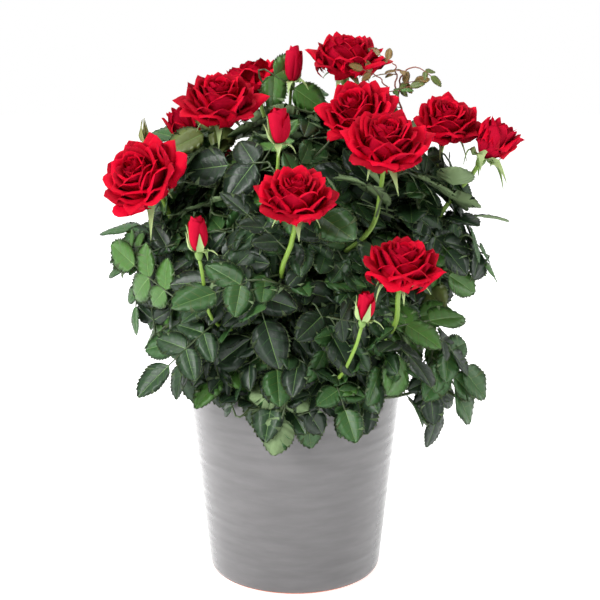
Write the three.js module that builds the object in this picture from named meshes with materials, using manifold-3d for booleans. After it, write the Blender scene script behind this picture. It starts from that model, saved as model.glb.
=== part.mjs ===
// A potted rose bush: a glazed pot of soil, a short woody foot with its canes, masses of foliage,
// and open blooms and buds on green stalks. Millimetres, +Z up, the front of the plant towards -Y.
// The origin is the centre of the pot's flat underside.
import * as THREE from "three";
import { mergeVertices } from "three/addons/utils/BufferGeometryUtils.js";
import Module from "manifold-3d";

const wasm = await Module();
wasm.setup();

// ---- driving dimensions ----
const GAP = 0.4; // clear space left between neighbouring solids
const POT = { rimRadius: 75, baseRadius: 60, height: 140, wall: 5, floor: 8, lip: 2, heel: 2.5, sides: 32 };
const SOIL = { belowRim: 14, mound: 4 };
const FOOT = { radius: 9, flare: 5, height: 16, sides: 10 };
const CANE = { footRadius: 3.4, tipRadius: 2.3, sides: 6, steps: 7 };
const STALK = { footRadius: 2.2, tipRadius: 1.6, sides: 5, steps: 5 };
const BLOOM = { sides: 10, lobes: 5, lobeDepth: 0.05 };
const BUD = { sides: 7 };
// Unevenness of a mass; one whose biggest half size passes fineFrom gets the finer ball.
const LUMPS = { share: 0.085, waves: [2.3, 3.9, 6.1], fineFrom: 25 };

// Each mass of foliage: its middle, its half sizes, and the seed of its lumps.
const MASSES = {
  foliage_top_middle: { at: [2, 2, 292], half: [35, 40, 36], seed: 1 },
  foliage_top_left: { at: [-53, 2, 272], half: [42, 44, 34], seed: 2 },
  foliage_top_right: { at: [80, 4, 258], half: [46, 46, 36], seed: 3 },
  foliage_left_arm: { at: [-96, -10, 221], half: [37, 42, 30], seed: 4 },
  foliage_left_low: { at: [-80, -14, 174], half: [36, 44, 21], seed: 5 },
  foliage_right_arm: { at: [100, 4, 212], half: [41, 46, 33], seed: 6 },
  foliage_right_low: { at: [60, 32, 168], half: [36, 46, 27], seed: 18 },
  foliage_front_upper: { at: [-8, -46, 232], half: [45, 32, 36], seed: 7 },
  foliage_front_left: { at: [-55, -52, 197], half: [37, 36, 36], seed: 8 },
  foliage_front_right: { at: [43, -58, 196], half: [39, 34, 38], seed: 9 },
  foliage_apron_left: { at: [-56, -72, 152], half: [30, 24, 23], seed: 10 },
  foliage_apron_middle: { at: [-10, -80, 154], half: [35, 25, 45], seed: 11 },
  foliage_apron_right: { at: [44, -82, 147], half: [33, 22, 35], seed: 12 },
  foliage_spray_right: { at: [101, -46, 140], half: [27, 26, 41], seed: 13 },
  foliage_back_left: { at: [-62, 70, 212], half: [52, 48, 60], seed: 14 },
  foliage_back_right: { at: [62, 74, 208], half: [52, 46, 58], seed: 15 },
  foliage_back_top: { at: [0, 62, 280], half: [44, 42, 36], seed: 16 },
  foliage_back_low: { at: [0, 88, 162], half: [54, 34, 34], seed: 17 },
  foliage_shoot: { at: [72, 30, 344], half: [21, 12, 14], seed: 19 },
  foliage_sprig: { at: [-106, 38, 303], half: [9, 9, 15], seed: 20 },
};

// Each bloom: its middle, the way it faces, its diameter and height, and where its stalk starts.
const OPEN = 0.58; // height over diameter of an open bloom, from the hip's foot to the heart's top
const BLOOMS = {
  bloom_left: { at: [-100, -35, 282], faces: [-0.45, -0.62, 0.62], across: 62, tall: OPEN, from: [-70, -12, 244] },
  bloom_upper_left: { at: [-51, 10, 328], faces: [0.02, -0.42, 0.9], across: 58, tall: OPEN, from: [-50, 12, 286] },
  bloom_behind: { at: [-29, 70, 338], faces: [-0.25, 0.22, 0.93], across: 52, tall: OPEN, from: [-16, 60, 290] },
  bloom_top: { at: [36, 40, 355], faces: [0.08, -0.16, 0.98], across: 58, tall: OPEN, from: [24, 40, 290] },
  bloom_heart: { at: [41, 2, 321], faces: [-0.28, -0.52, 0.8], across: 56, tall: OPEN, from: [40, 20, 270] },
  bloom_near_heart: { at: [59, -46, 305], faces: [0.06, -0.46, 0.88], across: 60, tall: OPEN, from: [52, -30, 236] },
  bloom_right: { at: [104, 14, 314], faces: [0.08, -0.5, 0.86], across: 50, tall: OPEN, from: [92, 16, 262] },
  bloom_far_right: { at: [134, 2, 300], faces: [0.55, 0.12, 0.82], across: 35, tall: 0.95, from: [104, 2, 246] },
  bloom_front: { at: [1, -87, 276], faces: [0.02, -0.4, 0.92], across: 54, tall: OPEN, from: [-8, -68, 226] },
  bloom_low_right: { at: [67, -90, 234], faces: [0.1, -0.2, 0.97], across: 54, tall: OPEN, from: [62, -70, 190] },
  bloom_tucked: { at: [-77, 42, 308], faces: [-0.35, -0.1, 0.93], across: 32, tall: 0.95, from: [-66, 36, 262] },
  bloom_back_left: { at: [-62, 104, 268], faces: [-0.3, 0.55, 0.78], across: 54, tall: OPEN, from: [-54, 80, 226] },
  bloom_back_right: { at: [62, 106, 262], faces: [0.3, 0.55, 0.78], across: 56, tall: OPEN, from: [52, 82, 222] },
};
const BUDS = {
  bud_top: { at: [-1.5, 35, 348], faces: [0.08, -0.02, 1], across: 13, tall: 2.3, from: [-3, 34, 300] },
  bud_upper: { at: [-10, -50, 313], faces: [0.02, -0.08, 1], across: 15, tall: 1.9, from: [-14, -34, 268] },
  bud_left: { at: [-59, -93, 251], faces: [-0.1, -0.08, 1], across: 13, tall: 2.1, from: [-54, -66, 184] },
  bud_low: { at: [43, -106, 209], faces: [0.18, -0.1, 1], across: 12, tall: 1.9, from: [34, -84, 170] },
};

// Each cane, in order round the foot: the point inside the foliage that it makes for.
const CANES = {
  cane_left: [-96, -10, 221],
  cane_front: [-4, -52, 226],
  cane_right: [98, 4, 218],
  cane_back_right: [48, 66, 236],
  cane_back_left: [-50, 62, 240],
};

const COLOURS = {
  pot: ["#8e8d8f", 0.25],
  soil: ["#2e241d", 0.95],
  bark: ["#6b5b3c", 0.8],
  stalk: ["#7d9b3c", 0.55],
  leaf: ["#2c4a2c", 0.5],
  petal: ["#c0061a", 0.6],
};

// ---- solids ----

/** A closed three.js geometry as a manifold-3d solid. */
function solidOf(geometry) {
  const bare = geometry.index ? geometry.toNonIndexed() : geometry.clone();
  bare.deleteAttribute("normal");
  bare.deleteAttribute("uv");
  const merged = mergeVertices(bare, 1e-3);
  return new wasm.Manifold(
    new wasm.Mesh({
      numProp: 3,
      vertProperties: merged.attributes.position.array,
      triVerts: new Uint32Array(merged.index.array),
    }),
  );
}

/** A manifold-3d solid as a three.js geometry. */
function geometryOf(solid) {
  const mesh = solid.getMesh();
  const places = new Float32Array(mesh.numVert * 3);
  for (let i = 0; i < mesh.numVert; i++) {
    places.set(mesh.vertProperties.subarray(i * mesh.numProp, i * mesh.numProp + 3), i * 3);
  }
  const geometry = new THREE.BufferGeometry();
  geometry.setAttribute("position", new THREE.BufferAttribute(places, 3));
  geometry.setIndex(new THREE.BufferAttribute(mesh.triVerts, 1));
  geometry.computeVertexNormals();
  return geometry;
}

/** A solid of revolution about +Z, from [radius, height] pairs that start and end on the axis. */
function turned(profile, sides, shape = (point) => point) {
  const lathe = new THREE.LatheGeometry(profile.map(([r, z]) => new THREE.Vector2(r, z)), sides);
  lathe.rotateX(Math.PI / 2);
  const places = lathe.attributes.position;
  const point = new THREE.Vector3();
  for (let i = 0; i < places.count; i++) {
    shape(point.fromBufferAttribute(places, i));
    places.setXYZ(i, point.x, point.y, point.z);
  }
  return lathe;
}

/** The pot's outer radius at a height above its underside. */
function potRadius(z) {
  return POT.baseRadius + ((POT.rimRadius - POT.baseRadius) * z) / POT.height;
}

/** The pot: a tapering wall with a rounded lip and heel on a solid floor. */
function potSolid() {
  const { rimRadius, baseRadius, height, wall, floor, lip, heel, sides } = POT;
  return solidOf(
    turned(
      [
        [0, 0],
        [baseRadius - heel, 0],
        [baseRadius, heel],
        [potRadius(height - lip), height - lip],
        [rimRadius - lip / 2, height],
        [rimRadius - wall + lip / 2, height],
        [potRadius(height - lip) - wall, height - lip],
        [potRadius(floor) - wall, floor],
        [0, floor],
      ],
      sides,
    ),
  );
}

/** The soil: it fills the pot to a little under its rim, and rises slightly to the middle. */
function soilSolid() {
  const { height, wall, floor, sides } = POT;
  const top = height - SOIL.belowRim;
  const foot = floor + GAP;
  return solidOf(
    turned(
      [
        [0, foot],
        [potRadius(foot) - wall - GAP, foot],
        [potRadius(top) - wall - GAP, top],
        [potRadius(top) * 0.45, top + SOIL.mound * 0.7],
        [FOOT.radius + FOOT.flare + 2, top + SOIL.mound],
        [0, top + SOIL.mound],
      ],
      sides,
    ),
  );
}

/** The woody foot at soil level, flared below and knobbly above, grown by a margin. */
function footSolid(grow = 0) {
  const { radius, flare, height, sides } = FOOT;
  const ground = POT.height - SOIL.belowRim + SOIL.mound + GAP;
  return solidOf(
    turned(
      [
        [0, ground - grow],
        [radius + flare + grow, ground - grow],
        [radius + flare * 0.3 + grow, ground + height * 0.3],
        [radius * 0.9 + grow, ground + height * 0.65],
        [radius + grow, ground + height * 0.85 + grow],
        [radius * 0.6 + grow, ground + height + grow],
        [0, ground + height * 1.05 + grow],
      ],
      sides,
    ),
  );
}

/** One lumpy mass of foliage, grown by a margin. */
function massSolid({ at, half, seed }, grow = 0) {
  const ball = new THREE.IcosahedronGeometry(1, Math.max(...half) > LUMPS.fineFrom ? 2 : 1);
  const places = ball.attributes.position;
  const way = new THREE.Vector3();
  for (let i = 0; i < places.count; i++) {
    way.fromBufferAttribute(places, i).normalize();
    let lump = 1;
    LUMPS.waves.forEach((wave, n) => {
      const phase = seed * 2.4 + n * 1.7;
      lump +=
        (LUMPS.share / (1 + n * 0.5)) *
        Math.sin(wave * way.x + phase) *
        Math.cos(wave * way.y - phase * 1.3) *
        Math.cos(wave * way.z + phase * 0.7) *
        2;
    });
    places.setXYZ(
      i,
      at[0] + way.x * (half[0] * lump + grow),
      at[1] + way.y * (half[1] * lump + grow),
      at[2] + way.z * (half[2] * lump + grow),
    );
  }
  return solidOf(ball);
}

/** The rotation that takes +Z to the way something faces. */
function facing(way) {
  const to = new THREE.Vector3(...way).normalize();
  return new THREE.Quaternion().setFromUnitVectors(new THREE.Vector3(0, 0, 1), to);
}

/** A turned shape about its own middle, set facing a way at a place. */
function placed(geometry, { at, faces }) {
  geometry.applyQuaternion(facing(faces));
  geometry.translate(...at);
  return solidOf(geometry);
}

/** A bloom: a hip at its foot, a spreading bowl of petals and a domed heart, grown by a margin. */
function bloomSolid(bloom, grow = 0) {
  const { across, tall } = bloom;
  const radius = across / 2 + grow;
  const height = across * tall + 2 * grow;
  const foot = -height * 0.55;
  const profile = [
    [0, 0],
    [0.14, 0],
    [0.17, 0.16],
    [0.6, 0.34],
    [0.98, 0.62],
    [0.72, 0.84],
    [0.3, 1],
    [0, 1],
  ].map(([r, z]) => [r * radius, foot + z * height]);
  const lobed = (point) => {
    const reach = Math.hypot(point.x, point.y) / radius;
    const share = 1 + BLOOM.lobeDepth * reach * Math.cos(BLOOM.lobes * Math.atan2(point.y, point.x));
    point.x *= share;
    point.y *= share;
  };
  return placed(turned(profile, BLOOM.sides, lobed), bloom);
}

/** A bud: a round hip under a pointed cone of furled petals, grown by a margin. */
function budSolid(bud, grow = 0) {
  const { across, tall } = bud;
  const radius = across / 2 + grow;
  const height = across * tall + 2 * grow;
  const profile = [
    [0, 0],
    [0.45, 0.02],
    [0.62, 0.16],
    [0.95, 0.42],
    [0.9, 0.66],
    [0.45, 0.97],
    [0, 1],
  ].map(([r, z]) => [r * radius, (z - 0.5) * height]);
  return placed(turned(profile, BUD.sides), bud);
}

/** A limb that tapers along a smooth line through its points, with flat ends. */
function limbSolid(points, { footRadius, tipRadius, sides, steps }) {
  const line = new THREE.CatmullRomCurve3(points.map((p) => new THREE.Vector3(...p)));
  const { normals, binormals } = line.computeFrenetFrames(steps, false);
  const places = [];
  for (let step = 0; step <= steps; step++) {
    const middle = line.getPointAt(step / steps);
    const radius = footRadius + ((tipRadius - footRadius) * step) / steps;
    for (let side = 0; side < sides; side++) {
      const angle = (2 * Math.PI * side) / sides;
      const point = middle
        .clone()
        .addScaledVector(normals[step], radius * Math.cos(angle))
        .addScaledVector(binormals[step], radius * Math.sin(angle));
      places.push(point.x, point.y, point.z);
    }
  }
  const index = [];
  for (let step = 0; step < steps; step++) {
    for (let side = 0; side < sides; side++) {
      const a = step * sides + side;
      const b = step * sides + ((side + 1) % sides);
      index.push(a, b, b + sides, a, b + sides, a + sides);
    }
  }
  const last = steps * sides;
  for (let side = 1; side < sides - 1; side++) {
    index.push(0, side + 1, side, last, last + side, last + side + 1);
  }
  const geometry = new THREE.BufferGeometry();
  geometry.setAttribute("position", new THREE.BufferAttribute(new Float32Array(places), 3));
  geometry.setIndex(index);
  return solidOf(geometry);
}

/** The foot of a bloom or bud, where its stalk meets it, and the way it faces. */
function underside({ at, faces, across, tall }, share) {
  const way = new THREE.Vector3(...faces).normalize();
  return { way, foot: new THREE.Vector3(...at).addScaledVector(way, -across * tall * share) };
}

/** The stalk under a bloom or bud: straight out of its hip, then bending down to where it starts. */
function stalkSolid(flower, share) {
  const { way, foot } = underside(flower, share);
  const start = new THREE.Vector3(...flower.from);
  const neck = foot.clone().addScaledVector(way, -8);
  const bend = neck.clone().lerp(start, 0.5).addScaledVector(way, -2);
  const top = foot.clone().addScaledVector(way, -GAP);
  return limbSolid([start, bend, neck, top].map((p) => p.toArray()), STALK);
}

/** A cane that leans out of the foot at an angle, and then rises to the foliage that it carries. */
function caneSolid(end, angle) {
  const ground = POT.height - SOIL.belowRim + SOIL.mound + GAP;
  const out = (reach, z) => [Math.cos(angle) * reach, Math.sin(angle) * reach, z];
  const start = out(FOOT.radius * 0.5, ground + FOOT.height * 0.62);
  const knee = out(FOOT.radius + 6, ground + FOOT.height + 6);
  const bend = [end[0] * 0.55, end[1] * 0.55, end[2] - 38];
  return limbSolid([start, knee, bend, end], CANE);
}

/** The piece of a cut solid that lies nearest to a point. */
function nearestPiece(solid, point) {
  const distance = (piece) => {
    const { min, max } = piece.boundingBox();
    return Math.hypot(...point.map((c, i) => Math.max(min[i] - c, 0, c - max[i])));
  };
  return solid.decompose().sort((a, b) => distance(a) - distance(b))[0];
}

/** The largest piece of a cut solid. */
function largestPiece(solid) {
  return solid.decompose().sort((a, b) => b.volume() - a.volume())[0];
}

/** A solid less every one of the others. */
function cleared(solid, others) {
  return others.reduce((left, other) => left.subtract(other), solid);
}

// ---- the plant, from what is firm to what gives way ----

const plant = new THREE.Group();

/** Adds one named mesh to the plant. */
function add(name, solid, [colour, roughness]) {
  const material = new THREE.MeshStandardMaterial({ color: colour, roughness, metalness: 0 });
  const mesh = new THREE.Mesh(geometryOf(solid), material);
  mesh.name = name;
  plant.add(mesh);
}

add("pot", potSolid(), COLOURS.pot);
add("soil", soilSolid(), COLOURS.soil);
add("foot", footSolid(), COLOURS.bark);

const flowers = []; // blooms and buds, each grown by the gap
for (const [name, bloom] of Object.entries(BLOOMS)) {
  add(name, cleared(bloomSolid(bloom), flowers), COLOURS.petal);
  flowers.push(bloomSolid(bloom, GAP));
}
for (const [name, bud] of Object.entries(BUDS)) {
  add(name, cleared(budSolid(bud), flowers), COLOURS.petal);
  flowers.push(budSolid(bud, GAP));
}

/** The pot's outside, filled solid and grown by the gap, for the masses that hang over its rim. */
const potFilled = solidOf(
  turned(
    [
      [0, -GAP],
      [POT.baseRadius + GAP, -GAP],
      [POT.rimRadius + GAP, POT.height + GAP],
      [0, POT.height + GAP],
    ],
    POT.sides,
  ),
);
const footGrown = footSolid(GAP);

const masses = []; // each grown by the gap
for (const [name, mass] of Object.entries(MASSES)) {
  const solid = cleared(massSolid(mass), [potFilled, footGrown, ...flowers, ...masses]);
  add(name, largestPiece(solid), COLOURS.leaf);
  masses.push(massSolid(mass, GAP));
}

Object.entries(CANES).forEach(([name, end], turn, all) => {
  const angle = Math.PI + (2 * Math.PI * turn) / all.length;
  const solid = cleared(caneSolid(end, angle), [footGrown, ...masses]);
  add(name, nearestPiece(solid, [0, 0, POT.height]), COLOURS.bark);
});

const stalked = [
  ...Object.entries(BLOOMS).map(([name, flower]) => [name, flower, 0.55]),
  ...Object.entries(BUDS).map(([name, flower]) => [name, flower, 0.5]),
];
for (const [name, flower, share] of stalked) {
  const foot = underside(flower, share).foot.toArray();
  const solid = cleared(stalkSolid(flower, share), [...flowers, ...masses]);
  if (!solid.isEmpty()) add(`stalk_${name}`, nearestPiece(solid, foot), COLOURS.stalk);
}

export default plant;
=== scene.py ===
"""A potted rose bush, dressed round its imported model: pot, compost, canes, twigs, leaves and flowers.

Metres, +Z up, the front of the plant towards -Y. Everything random is drawn from seeded generators.
"""

import logging
import math
from collections.abc import Sequence
from dataclasses import dataclass, field, replace
from enum import Enum, IntEnum

import bpy
import numpy as np
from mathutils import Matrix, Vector
from mathutils.bvhtree import BVHTree


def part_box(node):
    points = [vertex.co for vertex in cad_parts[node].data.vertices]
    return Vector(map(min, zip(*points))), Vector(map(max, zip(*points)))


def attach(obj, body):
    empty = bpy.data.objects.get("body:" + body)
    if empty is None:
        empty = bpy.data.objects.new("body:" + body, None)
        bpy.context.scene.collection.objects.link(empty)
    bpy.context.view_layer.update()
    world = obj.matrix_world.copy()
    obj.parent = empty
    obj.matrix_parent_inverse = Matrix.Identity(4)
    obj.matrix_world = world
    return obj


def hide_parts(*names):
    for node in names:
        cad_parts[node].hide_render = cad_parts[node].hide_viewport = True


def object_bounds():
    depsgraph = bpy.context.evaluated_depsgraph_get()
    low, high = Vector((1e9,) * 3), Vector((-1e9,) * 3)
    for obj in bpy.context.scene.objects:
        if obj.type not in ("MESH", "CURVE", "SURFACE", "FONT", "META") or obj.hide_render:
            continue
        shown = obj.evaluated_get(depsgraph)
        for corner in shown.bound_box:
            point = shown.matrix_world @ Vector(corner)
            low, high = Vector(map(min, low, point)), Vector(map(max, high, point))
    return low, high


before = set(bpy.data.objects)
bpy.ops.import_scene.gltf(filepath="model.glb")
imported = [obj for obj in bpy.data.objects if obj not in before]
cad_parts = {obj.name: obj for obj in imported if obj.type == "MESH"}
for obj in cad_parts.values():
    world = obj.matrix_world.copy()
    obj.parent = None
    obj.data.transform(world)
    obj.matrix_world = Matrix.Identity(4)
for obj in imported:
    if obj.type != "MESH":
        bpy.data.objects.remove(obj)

CAD_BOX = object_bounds()
log = logging.getLogger("rose_bush")

Array = np.ndarray
Piece = bpy.types.Object
Triple = tuple[float, float, float]
Pattern = tuple[Array, list[tuple[Array, "Part"]]]
Placing = tuple[Array, Array, float]
MM = 0.001
ROOT = "root"
UP = np.array([0.0, 0.0, 1.0])
GOLDEN_ANGLE = math.pi * (3 - math.sqrt(5))

# How much of a flower's height its hip takes.
HIP_SHARE = 0.19


# ---- vectors and lines ----


def unit(vector: Array) -> Array:
    """A vector, or each row of an array, at length one."""
    return vector / np.linalg.norm(vector, axis=-1, keepdims=True)


def square_to(way: Array, hint: Array) -> Array:
    """The unit vector nearest to a hint that is square to a way."""
    flat = hint - way * (hint @ way)
    if np.linalg.norm(flat) < 1e-6:
        flat = np.cross(way, [0.31, 0.87, 0.38])
    return unit(flat)


def turned_about(vector: Array, axis: Array, angle: float) -> Array:
    """A vector turned about an axis by an angle in radians."""
    return (
        vector * math.cos(angle)
        + np.cross(axis, vector) * math.sin(angle)
        + axis * (axis @ vector) * (1 - math.cos(angle))
    )


def axes_of(way: Array, face: Array) -> Array:
    """The axes of a leaf that grows one way and faces another, as columns."""
    return np.stack([np.cross(way, face), way, face], axis=1)


def spin(angle: float) -> Array:
    """The turn about +Z by an angle, as a matrix."""
    c, s = math.cos(angle), math.sin(angle)
    return np.array([[c, -s, 0], [s, c, 0], [0, 0, 1]])


def eased(x: Array, start: float, end: float) -> Array:
    """A smooth rise from 0 at start to 1 at end."""
    t = np.clip((x - start) / (end - start), 0.0, 1.0)
    return t * t * (3 - 2 * t)


def between(first: Array, second: Array, share: float) -> Array:
    """A value that is the first at share 0 and the second at share 1."""
    return first * (1 - share) + second * share


def run_along(line: Array) -> Array:
    """How far each point of a line lies along it."""
    return np.concatenate([[0], np.cumsum(np.linalg.norm(np.diff(line, axis=0), axis=1))])


def bezier(corners: Array, count: int) -> Array:
    """Points along a cubic curve.

    Args:
        corners: Its four control points, one a row.
        count: How many points to give.

    Returns:
        The points, one a row, from the first corner to the last.
    """
    t = np.linspace(0, 1, count)[:, None]
    a, b, c, d = (np.asarray(p, float) for p in corners)
    return a * (1 - t) ** 3 + 3 * b * t * (1 - t) ** 2 + 3 * c * t**2 * (1 - t) + d * t**3


def bow(start: Array, out: Array, end: Array, into: Array, count: int, slack: float = 0.38) -> Array:
    """A limb's line that leaves one point along a way and reaches another along a second way.

    Args:
        start: Where it starts.
        out: The unit way in which it leaves.
        end: Where it ends.
        into: The unit way in which it arrives.
        count: How many points to give.
        slack: How far the ends hold their ways, as a share of the distance.

    Returns:
        The points of the line.
    """
    reach = np.linalg.norm(end - start) * slack
    return bezier([start, start + out * reach, end - into * reach, end], count)


def circle(sides: int) -> Array:
    """Even angles round a circle."""
    return 2 * math.pi * np.arange(sides) / sides


def ring_quads(sides: int, steps: int) -> Array:
    """The quads of a tube's wall, between rings of points that follow each other."""
    near = np.arange(sides)
    far = np.roll(near, -1)
    first = np.stack([near, far, far + sides, near + sides], axis=1)
    return np.concatenate([first + sides * step for step in range(steps)])


def strip_quads(count: int, near: int, far: int, flip: bool = False) -> Array:
    """The quads between two rows of points.

    Args:
        count: How many quads there are.
        near: The first point of one row.
        far: The first point of the other.
        flip: Whether they face the other way.

    Returns:
        The quads.
    """
    step = np.arange(count)
    return flipped(np.stack([step + near, step + far, step + far + 1, step + near + 1], axis=1), flip)


def flipped(faces: Array, flip: bool = True) -> Array:
    """Faces turned the other way, if they are to be."""
    return faces[:, ::-1] if flip else faces


def sweep(line: Array, radii: Array, sides: int) -> tuple[Array, list[Array]]:
    """A closed round limb along a line.

    Args:
        line: The points of its middle.
        radii: Its radius at each point, or at each point and side.
        sides: How many sides it has.

    Returns:
        Its points, and its faces in groups of one size.
    """
    ways = unit(np.gradient(line, axis=0))
    cosine, sine = np.cos(circle(sides))[:, None], np.sin(circle(sides))[:, None]
    radii = np.broadcast_to(np.asarray(radii, float).reshape(len(line), -1), (len(line), sides))
    normal = square_to(ways[0], UP if abs(ways[0][2]) < 0.9 else np.array([1.0, 0.0, 0.0]))
    rings = []
    for middle, way, radius in zip(line, ways, radii):
        normal = square_to(way, normal)
        rings.append(middle + radius[:, None] * (cosine * normal + sine * np.cross(way, normal)))
    steps = len(line) - 1
    end = np.arange(sides)[None]
    return np.concatenate(rings), [ring_quads(sides, steps), flipped(end), end + sides * steps]


# ---- finishes ----


def colour(code: str) -> tuple[float, float, float, float]:
    """A screen colour such as #8a1020 as the linear colour that a shader takes."""
    channels = [int(code[i : i + 2], 16) / 255 for i in (1, 3, 5)]
    linear = [c / 12.92 if c <= 0.04045 else ((c + 0.055) / 1.055) ** 2.4 for c in channels]
    return (*linear, 1.0)


class Nodes:
    """The nodes of one material or world, with short ways to add and to join them."""

    def __init__(self, tree: bpy.types.NodeTree) -> None:
        """Takes hold of a node tree."""
        self.tree = tree

    def add(self, kind: str, values: dict[str, object] | None = None) -> bpy.types.Node:
        """Adds a node, and sets plain values on its sockets."""
        made = self.tree.nodes.new(f"ShaderNode{kind}")
        self.put(made, values or {})
        return made

    @staticmethod
    def put(node: bpy.types.Node, values: dict[str, object]) -> None:
        """Sets plain values on a node's sockets."""
        for socket, value in values.items():
            node.inputs[socket].default_value = value

    def join(self, start: bpy.types.Node, output: str, end: bpy.types.Node, socket: int | str) -> None:
        """Joins an output of one node to a socket of another."""
        self.tree.links.new(start.outputs[output], end.inputs[socket])


@dataclass(frozen=True)
class Finish:
    """A finish of one plain colour, with a fine relief."""

    name: str
    tint: str
    roughness: float = 0.5  # How matt it is
    grain: float = 0.002  # The size of its relief, in metres
    depth: float = 0.0001  # How deep the relief is, in metres
    sheen: float = 0.0  # How much soft velvet sheen it has
    sheen_tint: str = "#ffffff"  # The colour of that sheen
    coat: float = 0.0  # How much clear coat it has
    specular: float = 0.5  # The strength of its plain reflection
    glow: float = 0.0  # How much white light it gives out

    def material(self) -> bpy.types.Material:
        """Makes the finish's material, or gives the one already made."""
        made = bpy.data.materials.get(self.name)
        if made is None:
            made = bpy.data.materials.new(self.name)
            made.use_nodes = True
            made.diffuse_color = colour(self.tint)
            self.dress(Nodes(made.node_tree))
        return made

    def dress(self, nodes: Nodes) -> bpy.types.Node:
        """Sets the shader's plain values and its relief.

        Args:
            nodes: The material's nodes.

        Returns:
            The shader.
        """
        shader = nodes.tree.nodes["Principled BSDF"]
        plain = {
            "Base Color": colour(self.tint),
            "Roughness": self.roughness,
            "Sheen Weight": self.sheen,
            "Sheen Tint": colour(self.sheen_tint),
            "Sheen Roughness": 0.4,
            "Coat Weight": self.coat,
            "Coat Roughness": 0.08,
            "Specular IOR Level": self.specular,
            "Emission Strength": self.glow,
        }
        nodes.put(shader, plain)
        bump = nodes.add("Bump", {"Distance": self.depth, "Strength": 1.0})
        nodes.join(self.noise(nodes, self.grain, 3.0), "Fac", bump, "Height")
        nodes.join(bump, "Normal", shader, "Normal")
        return shader

    @staticmethod
    def noise(nodes: Nodes, size: float, detail: float, stretch: Triple = (1, 1, 1)) -> bpy.types.Node:
        """A noise pattern fixed to the object.

        Args:
            nodes: The material's nodes.
            size: The size of its features, in metres.
            detail: How many finer layers it has.
            stretch: How much it is squeezed along each axis.

        Returns:
            The noise node.
        """
        mapping = nodes.add("Mapping", {"Scale": stretch})
        noise = nodes.add("TexNoise", {"Scale": 1 / size, "Detail": detail})
        nodes.join(nodes.add("TexCoord"), "Object", mapping, "Vector")
        nodes.join(mapping, "Vector", noise, "Vector")
        return noise


@dataclass(frozen=True)
class MottledFinish(Finish):
    """A finish whose colour drifts between two tints."""

    second: str = "#808080"
    patch: float = 0.02  # The size of the drifts, in metres
    stretch: Triple = (1, 1, 1)  # How much the drifts are squeezed along each axis
    gloss_drift: float = 0.05  # How far the roughness drifts either way
    stops: tuple[float, float] = (0.34, 0.68)  # Where in the drift each tint is pure

    def dress(self, nodes: Nodes) -> bpy.types.Node:
        """Sets the plain finish, and lets a broad noise drive its colour and gloss.

        Args:
            nodes: The material's nodes.

        Returns:
            The shader.
        """
        shader = super().dress(nodes)
        noise = self.noise(nodes, self.patch, 6.0, self.stretch)
        ramp = nodes.add("ValToRGB")
        for end, stop, tint in zip(ramp.color_ramp.elements, self.stops, (self.tint, self.second)):
            end.position = stop
            end.color = colour(tint)
        least, most = self.roughness - self.gloss_drift, self.roughness + self.gloss_drift
        gloss = nodes.add("MapRange", {"To Min": least, "To Max": most})
        nodes.join(noise, "Fac", ramp, "Fac")
        nodes.join(ramp, "Color", shader, "Base Color")
        nodes.join(noise, "Fac", gloss, "Value")
        nodes.join(gloss, "Result", shader, "Roughness")
        return shader


GLAZE = MottledFinish(
    "grey_glaze", "#575556", 0.24, 0.012, 0.00006, coat=0.35, second="#615f60",
    patch=0.03, stretch=(1, 1, 5), gloss_drift=0.04,
)
CLAY = MottledFinish("bare_clay", "#a8502e", 0.85, 0.0012, 0.0002, second="#c06a42", patch=0.006)
COMPOST = MottledFinish("compost", "#1b130e", 0.95, 0.0015, 0.0008, second="#3a2a1e", patch=0.006)
CRUMBS = (
    Finish("crumb_dark", "#20160f", 0.95, 0.0008, 0.0003),
    Finish("crumb_brown", "#43301f", 0.9, 0.0008, 0.0003),
    Finish("crumb_bark", "#6b4a2c", 0.85, 0.0008, 0.0003),
)
BARK = MottledFinish("cane_bark", "#5a4a2c", 0.75, 0.0014, 0.0004, second="#7f7a45", patch=0.009)
THORN = Finish("thorn", "#8a4a34", 0.45)
TWIG = Finish("green_twig", "#3a4a28", 0.5, 0.0012, 0.0001)
STALK = Finish("flower_stalk", "#7a9c3a", 0.45, 0.0010, 0.0001)
RED_TWIG = Finish("young_twig", "#8a4b3a", 0.5, 0.0012, 0.0001)
SEPAL = Finish("sepal", "#6f8f45", 0.5, 0.0010, 0.0001)
SPRIG_BUD = Finish("sprig_bud", "#7c8048", 0.5, 0.0010, 0.0001)
SEPAL_LINING = Finish("sepal_lining", "#9db376", 0.7, 0.0010, 0.0001)
class Tone(IntEnum):
    """The leaf colours that are dealt out by spray. Every leaf inside a mass takes the deepest green, as
    painted shade for the dark inside of the crown.
    """

    DEEP = 0
    DARK = 1
    MID = 2
    FRESH = 3
    YOUNG = 4
    BRONZE = 5


LEAF_FINISHES = (
    # The deepest green is dealt out at random, and is also painted shade on every leaf inside a mass.
    Finish("leaf_deep", "#1a2b1c", 0.42, 0.0018, 0.0003, specular=0.45),
    Finish("leaf_dark", "#233c22", 0.42, 0.0018, 0.0003, specular=0.4),
    Finish("leaf_mid", "#32562a", 0.42, 0.0018, 0.0003, specular=0.38),
    Finish("leaf_fresh", "#426a2c", 0.42, 0.0018, 0.0003, specular=0.38),
    Finish("leaf_young", "#58652f", 0.45, 0.0018, 0.0002, specular=0.45),
    Finish("leaf_bronze", "#7c6034", 0.45, 0.0018, 0.0002, specular=0.45),
    Finish("leaf_rib", "#6b8d4c", 0.5),
    Finish("leaf_back", "#6c8159", 0.7, 0.0015, 0.0002, specular=0.3),
    Finish("leaf_back_young", "#8f8048", 0.7, 0.0015, 0.0002, specular=0.3),
    Finish("leaf_margin", "#6f8648", 0.5, 0.0022, 0.0001, specular=0.4),
)
RIB_SLOT = len(Tone)
BACK_SLOT = len(Tone) + 1
YOUNG_BACK_SLOT = len(Tone) + 2
MARGIN_SLOT = len(Tone) + 3

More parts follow.
